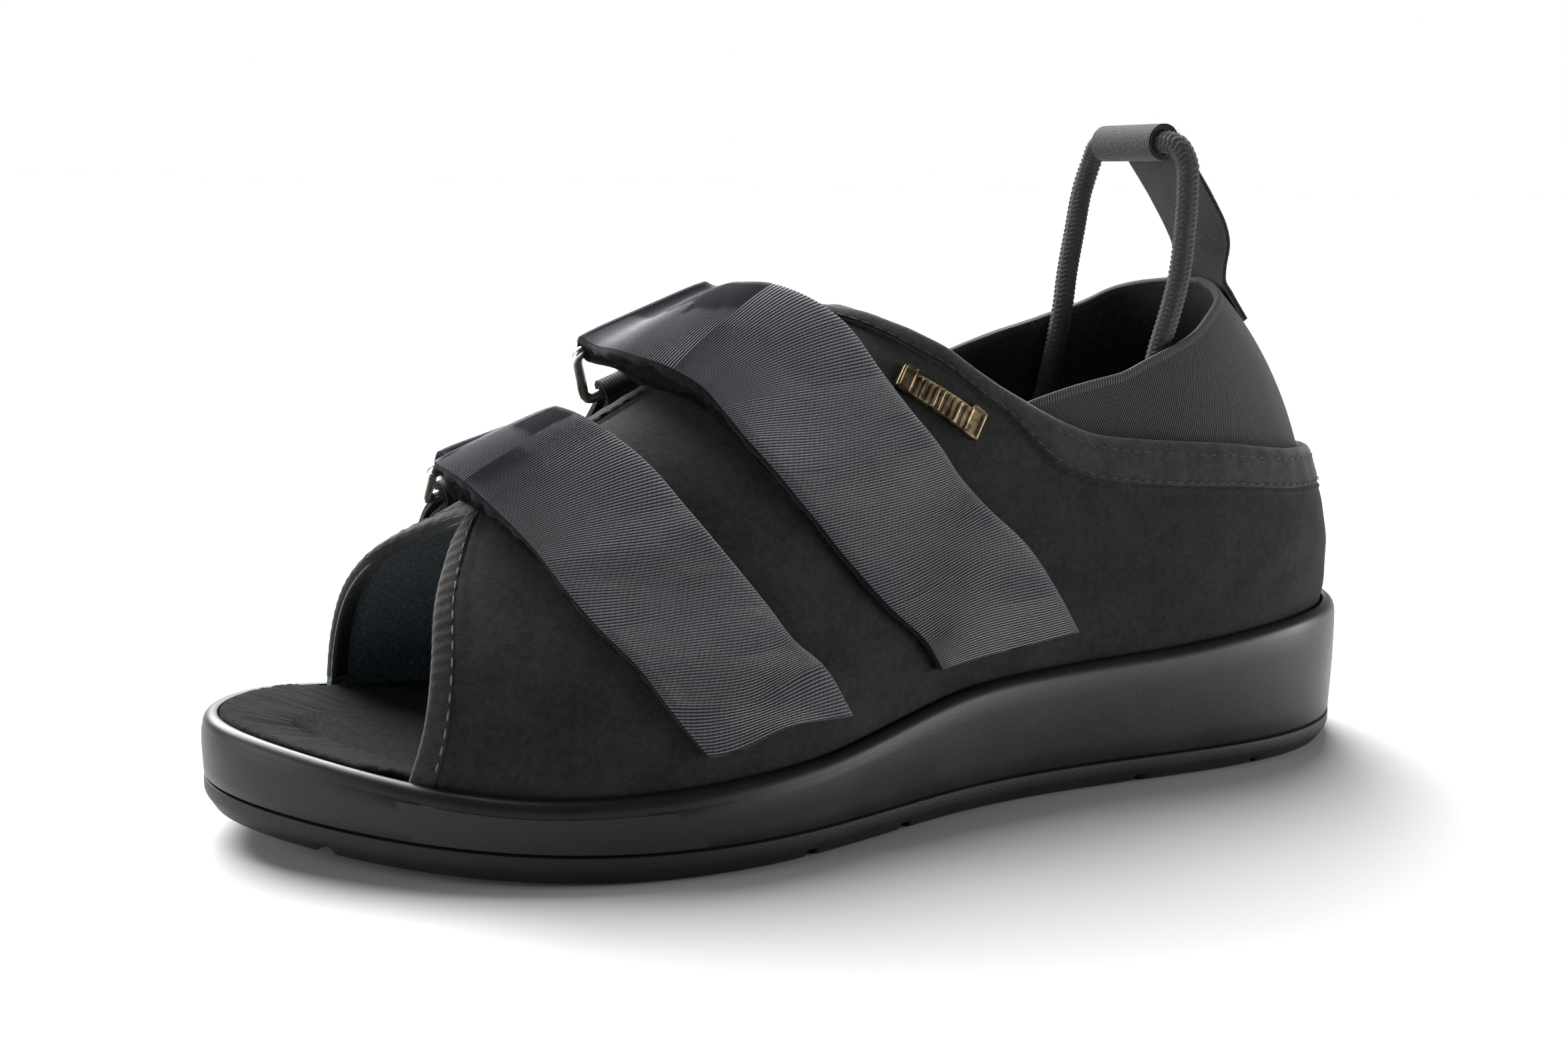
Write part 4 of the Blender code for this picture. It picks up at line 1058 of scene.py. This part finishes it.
def make_elastic():
    def place(u, v):
        side, share = both_sides(0.5 + (u - 0.5) * ELASTIC_REACH)
        _, _, edge = rib(side, share)
        high = math.radians(float(elastic_top[side](share)))
        angles, length = rib_walk(side, share, high)
        low = np.interp(min(edge, length[-1]) - ELASTIC_HEM, length, angles)
        angle = low + v * (high - low)
        swell = 0.0004 * np.sin(v * math.pi) * math.sin(share * 31)
        return raised(side, side_way(side, share, angle), angle, -WALL - GAP + swell)

    piece = laid("elastic_band", 260, 44, place, WEB, (0.23, 0.055))
    thickened(piece, ELASTIC)
    belongs(piece, "elastic", "heel_elastic")

    def fold_place(u, a, b):
        side, share = both_sides(0.5 + (u - 0.5) * ELASTIC_REACH)
        high = math.radians(float(elastic_top[side](share)))
        angles, length = rib_walk(side, share, high + 0.1, 130)
        angle = np.interp(np.interp(high, angles, length) - a, length, angles)
        return raised(side, side_way(side, share, angle), angle, b - WALL - GAP)

    piece = swept("elastic_fold", FOLD, 300, fold_place, HEM, length=0.23, girth=0.006)
    return belongs(piece, "elastic")


# Straps

def strap_place(line, angle_degrees):
    return way_to(OUTER, at_share(line(angle_degrees))), np.radians(angle_degrees)


def across_strap(line, angle_degrees):
    step = 1.0
    before = skin(OUTER, *strap_place(line, angle_degrees - step))
    after = skin(OUTER, *strap_place(line, angle_degrees + step))
    ahead = (after - before) / np.linalg.norm(after - before)
    way, angle = strap_place(line, angle_degrees)
    change = change_for(way, angle, np.cross(normal(OUTER, way, angle), ahead))
    return change if change[0] < 0 else -change


def strap_on_skin(rows, end, slant):
    line = monotone(rows, 1)
    angles = np.linspace(1.0, 96.0, 191)
    length = walked(skin(OUTER, *strap_place(line, angles)))
    changes = np.array([across_strap(line, angle) for angle in angles])
    ridge, free = np.interp((90.0, end), angles, length)

    def place(share, across, lift):
        slide = slant * across * (1 - smooth((share - SLANT_FROM) / SLANT_RUN))
        position = free + share * (ridge - free) + slide
        way, angle = strap_place(line, np.interp(position, length, angles))
        change = np.array([np.interp(position, length, changes[:, k]) for k in (0, 1)])
        return raised(OUTER, way + change[0] * across, angle + change[1] * across, lift)

    return place


def bar_frame(sizes):
    toe_end, heel_end = np.array(sizes[-2:]) * (LENGTH, BALL_WIDTH / 2, INSTEP_HEIGHT)
    along = heel_end - toe_end
    along /= np.linalg.norm(along)
    level = np.cross(along, (0, 0, 1))
    level *= np.sign(level[1]) / np.linalg.norm(level)
    up = np.cross(level, along)
    return (toe_end + heel_end) / 2, along, level, up * np.sign(up[2])


def strap_line(place, sizes, width, share):
    toe_height, heel_height = sizes[2]
    across = (share - 0.5) * width
    middle, along, level, up = bar_frame(sizes)
    bar = middle + along * across
    radius = RING_WIRE / 2 + GAP + STRAP_THICKNESS / 2
    height = toe_height + share * (heel_height - toe_height) - LAYER_HIGH * STRAP_THICKNESS
    points = [place(part, across, layers * STRAP_THICKNESS) for part, layers in LOWER_LAYER]
    turn = [bar + radius * (level * math.cos(angle) + up * math.sin(angle)) for angle in np.radians(BAR_TURN)]
    points.append((points[-1] + turn[0]) / 2 + up * LOWER_BOW)
    points += turn
    for part, rise in UPPER_LAYER:
        points.append(place(part, across, LAYER_HIGH * STRAP_THICKNESS + rise * height))
    for part, layers in END_LAYER:
        points.append(place(part, across, layers * STRAP_THICKNESS))
    return points


RIB_HEIGHT = 0.00013
FINE_PARTS = 60
PILE_LUMP = 1.5
ROOM_SPREAD = 0.0015
ROOM_WINDOW = 20

# Bulk of the pile in mm at the chosen points of a strap's middle, from its sewn end to its free end
PILE_BULK = ((0, 0.25), (5, 0.55), (9, 0.60), (13, 1.00), (16, 0.80), (19, 0.40), (23, 0.12))


def lumpy(rng, rows, count):
    """Soft lumps between -1 and 1 over a strap."""
    u, v = np.meshgrid(np.linspace(0, 1, count), np.linspace(0, 1, rows))
    total = 0 * u
    for size in (40, 65, 95, 140, 210):
        total = total + np.sin(u * size + rng.uniform(-4, 4) * v + rng.uniform(0, 6)) \
            * np.sin(v * size / 9 + rng.uniform(0, 6))
    return np.clip(total / 1.6, -1, 1)


def room_under(line, out):
    """Distance from a strap's middle to its own other layer, on the pile side."""
    offset = line[None] - line[:, None]
    below = -np.einsum("ijk,ik->ij", offset, out)
    aside = (offset ** 2).sum(-1) - below ** 2
    met = (below > STRAP_THICKNESS * 0.6) & (aside < ROOM_SPREAD ** 2)
    room = np.where(met, below, 0.02).min(1)
    ends = np.pad(room, ROOM_WINDOW, mode="edge")
    return np.array([ends[k:k + 2 * ROOM_WINDOW + 1].min() for k in range(len(room))])


def make_strap(name, rows, sizes, width, seed):
    """Knit strap: ribs across its upper face and pile under it; the fuzz along its cut edges comes from
    strap_fuzz.
    """
    place = strap_on_skin(rows, sizes[0], sizes[1])
    shares = np.linspace(0.012, 0.988, 15)
    lines = np.array([through(strap_line(place, sizes, width, share), FINE_PARTS) for share in shares])
    middle = lines[len(shares) // 2]
    length = walked(middle)
    total = length[-1]
    count = int(total / RIB_PITCH) * 4
    steps = np.interp(np.linspace(0, total, count + 1), length, np.arange(len(middle)))
    low = np.clip(steps.astype(int), 0, len(middle) - 2)
    part = (steps - low)[None, :, None]
    sheet = lines[:, low] * (1 - part) + lines[:, low + 1] * part
    out = unit(np.cross(np.gradient(sheet, axis=1), np.gradient(sheet, axis=0)))
    side_out = unit(np.gradient(sheet, axis=0))
    rng = np.random.default_rng(seed)
    ribs = RIB_HEIGHT * np.cos(np.arange(count + 1) * math.pi / 2)
    half = STRAP_THICKNESS / 2
    across = np.linspace(-1, 1, len(shares))
    crown = half * (1 - 0.35 * np.abs(across) ** 6)
    face = sheet + out * (crown[:, None] + ribs[None])[..., None]
    bulk = np.interp(steps / FINE_PARTS, *zip(*PILE_BULK)) * MM
    room = room_under(sheet[len(shares) // 2], out[len(shares) // 2])
    bulk = np.clip((room / 2 - half * 0.8) / PILE_LUMP, 0.00002, bulk)
    lumps = lumpy(rng, len(shares), count + 1)
    under = sheet - out * (half * 0.80 + bulk[None] * (1 + (PILE_LUMP - 1) * lumps))[..., None]
    puff = (bulk * (1 + lumps[0]))[:, None]
    edge_low = [sheet[0] - side_out[0] * (0.35 * puff + 0.0003) - out[0] * (half * 0.5 + 0.9 * puff),
                sheet[0] - side_out[0] * (0.60 * puff + 0.0005) - out[0] * (half * 0.3 + 0.4 * puff),
                sheet[0] - side_out[0] * 0.0004 + out[0] * 0.0003]
    edge_high = sheet[-1:] + side_out[-1:] * 0.0004 + out[-1:] * 0.0001
    around = np.concatenate([face, edge_high, under[::-1], edge_low, face[:1]])
    piece = wrapped(name, around, KNIT, (count / 4 * RIB_PITCH, width * 2.1))
    turn_uv(piece)
    piece.data.materials.append(PILE)
    closed(piece, 75)
    paint_under(piece, (len(shares) - 0.4) / (len(around) - 1))
    belongs(piece, "strap_loop", name.replace("_knit", ""))
    return sheet, out, side_out


def turn_uv(piece):
    """Swaps the two ways of a UV map, so that the second one runs along the piece."""
    layer = piece.data.uv_layers[0].data
    layer.foreach_set("uv", values(layer, "uv", 2)[:, ::-1].ravel())


def paint_under(piece, limit):
    """Gives the pile to the faces past a share of the way round a strap, its underside and edges."""
    mesh = piece.data
    around = values(mesh.uv_layers[0].data, "uv", 2)[:, 0]
    starts = values(mesh.polygons, "loop_start", kind=int)
    totals = values(mesh.polygons, "loop_total", kind=int)
    middle = np.array([around[start:start + total].mean() for start, total in zip(starts, totals)])
    slots = np.where((middle / around.max() > limit) | (totals > 4), 1, 0)
    mesh.polygons.foreach_set("material_index", slots.astype(np.int32))
    mesh.update()


HAIR_THICK = 0.00007


def make_fuzz(name, roots, lean, out, count, length, seed, finish=PILE, slot="strap_loop"):
    """Hairs that stand out of an edge, all a little different."""
    rng = np.random.default_rng(seed)
    pick = rng.uniform(0, len(roots) - 1.001, count)
    low = pick.astype(int)
    part = (pick - low)[:, None]
    depth = rng.normal(0, 0.00035, (count, 1)) * out[low]
    centres = roots[low] * (1 - part) + roots[low + 1] * part + depth
    up = unit(lean[low] + rng.normal(0, 0.45, (count, 3)))
    ahead = unit(np.cross(up, rng.normal(0, 1, (count, 3))))
    tall = length * rng.uniform(0.45, 1.15, count)
    thick = np.full(count, HAIR_THICK)
    scale = np.stack([np.maximum(tall * 0.35 * 0.3, thick), thick, tall], 1)
    return belongs(copies(name, HAIR, centres, ahead, up, finish, scale), slot)


def strap_fuzz(name, sheet, out, side_out, seed):
    """Short hairs on the heel edge and free end, thick curly pile on the toe edge and in the turn."""
    lean = -side_out[0]
    roots = sheet[0] + lean * 0.0003 - out[0] * 0.0008
    make_fuzz(f"{name}_fuzz_toe", roots, lean - 0.5 * out[0], out[0], 3600, 0.0014, seed)
    roots = sheet[-1] - out[-1] * 0.0004
    make_fuzz(f"{name}_fuzz_heel", roots, side_out[-1], out[-1], 1500, 0.0008, seed + 1)
    end = sheet[:, -1] - out[:, -1] * 0.0004
    ahead = unit(sheet[:, -1] - sheet[:, -3])
    make_fuzz(f"{name}_fuzz_end", end, ahead, out[:, -1], 300, 0.0008, seed + 2)
    rng = np.random.default_rng(seed + 3)
    count = 1500
    pick = (rng.uniform(0, 1, count) ** 1.4 * 0.86 + 0.02) * (sheet.shape[1] - 2)
    low = pick.astype(int)
    row = np.minimum(rng.exponential(1.2, count), 4).astype(int)
    roots = sheet[row, low] - out[row, low] * 0.0012 - side_out[row, low] * rng.uniform(0, 0.0006, (count, 1))
    up = unit(-side_out[row, low] - 0.5 * out[row, low] + rng.normal(0, 0.6, (count, 3)))
    ahead = unit(np.cross(up, rng.normal(0, 1, (count, 3))))
    tall = rng.uniform(0.0009, 0.0020, (count, 1)) * np.ones((1, 3))
    belongs(copies(f"{name}_curls", CURL, roots, ahead, up, PILE, tall), "strap_loop")


# Rings, tabs and badge

def ring_frame(sizes):
    middle, along, _, _ = bar_frame(sizes)
    lean = sizes[3]
    below = np.array(lean) - along * np.dot(lean, along)
    return middle, along, below / np.linalg.norm(below)


def make_ring(name, sizes, width, node_name):
    """Bent rod, closed where its lower bar is welded."""
    centre, along, below = ring_frame(sizes)
    half = width / 2 + RING_MARGIN + RING_WIRE / 2
    height = RING_SLOT + RING_WIRE
    path = []
    for x_sign, far, first in ((1, 0, -90), (1, 1, 0), (-1, 1, 90), (-1, 0, 180)):
        middle = (x_sign * (half - RING_CORNER), far * height + (RING_CORNER if far == 0 else -RING_CORNER))
        path += list(arc(middle, RING_CORNER, first, first + 90, 14))
    path.append(path[0])
    path = np.array(path)
    steps = walked(path)
    path = resampled(path, np.linspace(0, steps[-1], 181))
    ahead = unit(np.roll(path[:-1], -1, 0) - np.roll(path[:-1], 1, 0))
    ahead = np.vstack([ahead, ahead[:1]])
    out = np.cross(along, below)

    def place(u, a, b):
        k = int(round(u * 180))
        tangent = along * ahead[k, 0] + below * ahead[k, 1]
        across = np.cross(out, tangent)
        point = centre + along * path[k, 0] + below * path[k, 1]
        return point + across * a[:, None] + out * b[:, None]

    section = arc((0, 0), RING_WIRE / 2, 0, 360, 21)[:-1]
    piece = swept(name, section, 180, place, NICKEL, sharp=60, length=0.1, girth=0.009)
    return belongs(piece, "nickel", node_name)


def make_tab(name, rows, sizes, width, node_name, seed):
    """Band round the ring's lower bar, sewn to the inner flap."""
    centre, along, below = ring_frame(sizes)
    radius = RING_WIRE / 2 + GAP + RING_TAB / 2
    line = monotone(rows, 1)
    way, angle = strap_place(line, TAB_START)
    change = across_strap(line, TAB_START)
    lines = []
    for share in np.linspace(0, 1, 15):
        across = (share - 0.5) * width * TAB_SHARE
        bar = centre + below * (RING_SLOT + RING_WIRE) + along * across
        place = way + change[0] * across, angle + change[1] * across
        first = raised(OUTER, *place, TAB_LIFT)
        last = raised(OUTER, *place, TAB_LIFT + RING_TAB + GAP)
        toward = first - bar
        toward -= along * np.dot(toward, along)
        toward /= np.linalg.norm(toward)
        away = np.cross(toward, along)
        away *= np.sign(np.dot(away, last - first))
        turn = [bar + radius * (toward * math.cos(a) + away * math.sin(a))
                for a in np.radians(np.linspace(285, 75, 9))]
        bow = away * TAB_BOW
        lines.append(through(np.vstack([first, (first + turn[0]) / 2 + bow, turn,
                                        (last + turn[-1]) / 2 + bow, last]), 8))
    sheet = np.array(lines)
    out = unit(np.cross(np.gradient(sheet, axis=1), np.gradient(sheet, axis=0)))
    half = RING_TAB / 2
    around = np.concatenate([sheet + out * half, (sheet - out * half)[::-1], (sheet + out * half)[:1]])
    piece = wrapped(name, around, TAPE, (0.045, 0.06))
    turn_uv(piece)
    closed(piece, 50)
    belongs(piece, "elastic", node_name)
    side_out = unit(np.gradient(sheet, axis=0))
    for tag, row, sign in (("toe", 0, -1), ("heel", -1, 1)):
        make_fuzz(f"{name}_fuzz_{tag}", sheet[row], side_out[row] * sign, out[row], 380, 0.0008, seed,
                  TAPE, "elastic")
        seed += 1


def make_badge():
    """Small plate with a raised rim and plain ribs, bent to the upper."""
    behind_strap = at_share(monotone(REAR_LINE, 1)(BADGE_ANGLE)) - STRAP_REAR_WIDTH / 2 - BADGE_CLEAR
    way, angle = way_to(OUTER, behind_strap), math.radians(BADGE_ANGLE)
    along, up = slopes(OUTER, way, angle)
    long_side = unit(unit(along) + BADGE_SLOPE * unit(up))
    short_side = np.cross(normal(OUTER, way, angle), long_side)
    across = 56
    corner = 0.0014

    def notch(a):
        """Depth by which the plate's upper edge is cut back between its two ends."""
        return 0.0013 * smooth((0.34 * BADGE_LENGTH - np.abs(a)) / 0.0005)

    def relief(a, b):
        """Height over the plate's floor at lengths a and b from its middle."""
        above, beneath = BADGE_WIDTH / 2 - b, BADGE_WIDTH / 2 + b - notch(a)
        inside = np.minimum(BADGE_LENGTH / 2 - np.abs(a), np.minimum(above, beneath))
        rim = smooth((0.00105 - inside) / 0.00025) * smooth(inside / 0.00022)
        bars = smooth((np.cos(a / 0.00155 * 2 * math.pi) - 0.05) / 0.4)
        field = smooth((inside - 0.0003) / 0.0003) * smooth((0.35 * BADGE_LENGTH - np.abs(a)) / 0.0003)
        return 0.00045 * np.maximum(rim * (1 - 0.8 * field), 0.9 * bars * field)

    def outline_half(a):
        reach = BADGE_WIDTH / 2
        over = np.clip(np.abs(a) - (BADGE_LENGTH / 2 - corner), 0, corner)
        return reach - corner + math.sqrt(max(corner ** 2 - over ** 2, 0))

    def place(u, v):
        a = (u - 0.5) * BADGE_LENGTH
        half = outline_half(a)
        b = np.linspace(notch(a) - half, half, across + 1)
        rows = []
        face_rows = [(item, True) for item in b]
        for value, top in face_rows + [(item, False) for item in (half, 0.0, notch(a) - half)]:
            change = change_for(way, angle, long_side * a + short_side * value)
            lift = GAP + (BADGE_THICKNESS - 0.0003 + relief(a, value) if top else 0)
            rows.append(raised(OUTER, way + change[0], angle + change[1], lift))
        rows.append(rows[0])
        return np.array(rows)

    piece = laid("badge_plate", 150, across + 4, place, BRASS, (0.0226, 0.02))
    closed(piece, 50)
    return belongs(piece, "old_brass", "badge")


# Pull loop

def make_pull_tab():
    top = np.array([TAB_TOP[0] * LENGTH, TAB_TOP[1] * INSTEP_HEIGHT])
    radius = CORD / 2 + GAP + TAB_THICKNESS / 2
    back = [(x * LENGTH, z * INSTEP_HEIGHT) for x, z in TAB_LINE]
    turn = arc(top, radius, 150, -118, 11)
    lift = -WALL + TAB_THICKNESS / 2
    foot = [raised(OUTER, 0.0, math.radians(angle), lift)[[0, 2]] for angle in TAB_FOOT]
    line = open_curve(np.vstack([foot, back, turn]), 150)
    ahead = unit(np.gradient(line, axis=0))
    out = np.stack([-ahead[:, 1], ahead[:, 0]], 1) * TAB_THICKNESS / 2
    low, high = foot[0][1], foot[-1][1]
    bends = []
    shares = np.linspace(-0.5, 0.5, 33)
    for share in shares:
        side = OUTER if share >= 0 else INNER
        way = abs(share) * TAB_WIDTH
        bends.append([raised(side, way, angle, lift) - raised(side, 0.0, angle, lift)
                      for angle in np.radians((TAB_FOOT[0], TAB_FOOT[-1]))])

    def led(points, k):
        z = points[:, 1]
        level = np.clip((z - low) / (high - low), 0, 1)[:, None]
        curved = bends[k][0] + (bends[k][1] - bends[k][0]) * level
        mix = smooth((z - low) / (top[1] - low) * 1.6)[:, None]
        flat = np.array([0, shares[k] * TAB_WIDTH, 0])
        return np.stack([points[:, 0], 0 * z, z], 1) + curved * (1 - mix) + flat * mix

    face = np.array([led(line + out, k) for k in range(len(shares))])
    under = np.array([led(line - out, k) for k in range(len(shares))])
    around = np.concatenate([face, under[::-1], face[:1]])
    piece = wrapped("pull_tab_tape", around, TAPE, (0.08, 0.052))
    turn_uv(piece)
    closed(piece, 50)
    belongs(piece, "elastic", "pull_tab")
    sheet = (face + under) / 2
    facing = unit(face - under)
    for tag, row, sign, seed in (("outer", -1, 1, 61), ("inner", 0, -1, 62)):
        lean = np.tile((0.0, sign, 0.0), (len(line), 1))
        make_fuzz(f"pull_tab_fuzz_{tag}", sheet[row], lean, facing[row], 700, 0.0010, seed, TAPE, "elastic")


BRAID_PITCH = 0.00125
BRAID_LANES = 5


def make_cord():
    """Braided cord: strands that cross in rows of V on a round core."""
    route = open_curve(CORD_ROUTE, 950)
    ahead = unit(np.gradient(route, axis=0))
    across = np.empty_like(route)
    side = np.cross(ahead[0], (0.3, 0.2, 0.9))
    for k, direction in enumerate(ahead):
        side = side - direction * np.dot(side, direction)
        side /= np.linalg.norm(side)
        across[k] = side
    other = np.cross(ahead, across)
    length = walked(route)

    def place(u, a, b):
        k = int(round(u * (len(route) - 1)))
        turn = np.arctan2(b, a)
        lane = np.abs((turn * BRAID_LANES / (2 * math.pi)) % 1 - 0.5) * 2
        strand = np.cos(2 * math.pi * (length[k] / BRAID_PITCH + 0.6 * lane))
        seam_line = np.exp(-((1 - lane) / 0.16) ** 2) + np.exp(-(lane / 0.16) ** 2)
        radius = CORD / 2 * (0.93 + 0.07 * strand - 0.06 * seam_line)
        spokes = across[k] * np.cos(turn)[:, None] + other[k] * np.sin(turn)[:, None]
        return route[k] + spokes * radius[:, None]

    section = arc((0, 0), CORD / 2, 0, 360, 41)[:-1]
    piece = swept("pull_cord_braid", section, len(route) - 1, place, BRAID, girth=0.0173,
                  length=length[-1], sharp=80)
    return belongs(piece, "braided_cord", "pull_cord")


# Studio

CAMERA_PLACE = (0.17795, 0.37775, 0.14043)
CAMERA_RIGHT = (-0.9166, 0.3996, 0.0146)
CAMERA_UP = (-0.0617, -0.1772, 0.9822)
FOCAL_PIXELS = 2660.85
IMAGE_WIDTH = 2353
SENSOR = 36.0


def make_camera():
    rest()
    bpy.ops.object.camera_add(location=CAMERA_PLACE)
    camera = bpy.context.object
    camera.name = "photo_camera"
    right = Vector(CAMERA_RIGHT).normalized()
    up = Vector(CAMERA_UP)
    up = (up - right * up.dot(right)).normalized()
    back = right.cross(up)
    turned = camera.matrix_world.copy()
    for axis, column in enumerate((right, up, back)):
        for row in range(3):
            turned[row][axis] = column[row]
    camera.matrix_world = turned
    camera.data.sensor_width = SENSOR
    camera.data.lens = FOCAL_PIXELS * SENSOR / IMAGE_WIDTH
    camera.data.clip_start = 0.01
    bpy.context.scene.camera = camera


# Softboxes: name, place, aim, size and power
SOFTBOXES = (
    ("back_box", (0.05, -1.00, 0.80), (0, 0, 0.08), (1.6, 0.5), 30),
    ("toe_box", (1.10, 0.00, 0.36), (0.08, 0, 0.03), (0.6, 0.6), 5),
    ("heel_box", (-1.00, 0.46, 0.20), (-0.06, 0, 0.04), (0.5, 0.4), 8),
    ("side_box", (-0.75, 0.95, 0.12), (-0.05, 0.05, 0.03), (0.6, 0.16), 2.6),
)
FLOOR_SIZE = 400
SUN_POWER = 9.6
SUN_SPREAD = math.radians(60)
SUN_TURN = math.radians(39), math.radians(2), 0


def make_softbox(name, place, aim, size, power):
    rest()
    bpy.ops.object.light_add(type="AREA", location=place)
    light = bpy.context.object
    light.name = name
    light.data.shape = "RECTANGLE"
    light.data.size, light.data.size_y = size
    light.data.energy = power
    way = Vector(aim) - Vector(place)
    light.rotation_euler = way.to_track_quat("-Z", "Y").to_euler()


def make_studio():
    rest()
    bpy.ops.mesh.primitive_plane_add(size=FLOOR_SIZE, location=(0, 0, 0))
    floor = bpy.context.object
    floor.name = "floor"
    pale = Finish("pale_floor", Roughness=0.9, Specular_IOR_Level=0.1)
    floor.data.materials.append(pale.done((0.48, 0.48, 0.48)))
    world = bpy.data.worlds.new("studio")
    bpy.context.scene.world = world
    sky = Nodes(world)
    _, side, height = sky.parts("Generated")
    by_height = sky.ramp(height, (0.10, 1.0), (0.45, 0.20))
    by_side = sky.ramp(side, (0.00, 1.0), (0.45, 0.08))
    background = sky.nodes["Background"]
    sky.feed(background.inputs["Color"], sky.blend(by_height, by_side, 1.0, "MULTIPLY"))
    background.inputs["Strength"].default_value = 1.0
    rest()
    bpy.ops.object.light_add(type="SUN", location=(0, 0, 2))
    sun = bpy.context.object
    sun.name = "ceiling_light"
    sun.data.energy = SUN_POWER
    sun.data.angle = SUN_SPREAD
    sun.rotation_euler = SUN_TURN
    for row in SOFTBOXES:
        make_softbox(*row)
    view = bpy.context.scene.view_settings
    view.view_transform = "Standard"
    view.look = "None"
    view.exposure = 0.0
    view.gamma = 1.0


STITCH = thread_pattern()
HAIR = hair_pattern()
CURL = curl_pattern()

make_outsole()
make_midsole()
make_insole()
make_upper()
make_top_binding()
make_toe_binding(OUTER, "toe_binding_outer")
make_toe_binding(INNER, "toe_binding_inner")
make_upper_seams()
make_elastic()
for tag, rows, sizes, width, seed in (("front", FRONT_LINE, FRONT, STRAP_FRONT_WIDTH, 21),
                                      ("rear", REAR_LINE, REAR, STRAP_REAR_WIDTH, 31)):
    sheet, out, side_out = make_strap(f"strap_{tag}_knit", rows, sizes, width, seed)
    strap_fuzz(f"strap_{tag}", sheet, out, side_out, seed + 3)
    make_ring(f"ring_{tag}_rod", sizes, width, f"ring_{tag}")
    make_tab(f"tab_{tag}_tape", rows, sizes, width, f"tab_{tag}", seed + 40)
make_badge()
make_pull_tab()
make_cord()
make_studio()
make_camera()
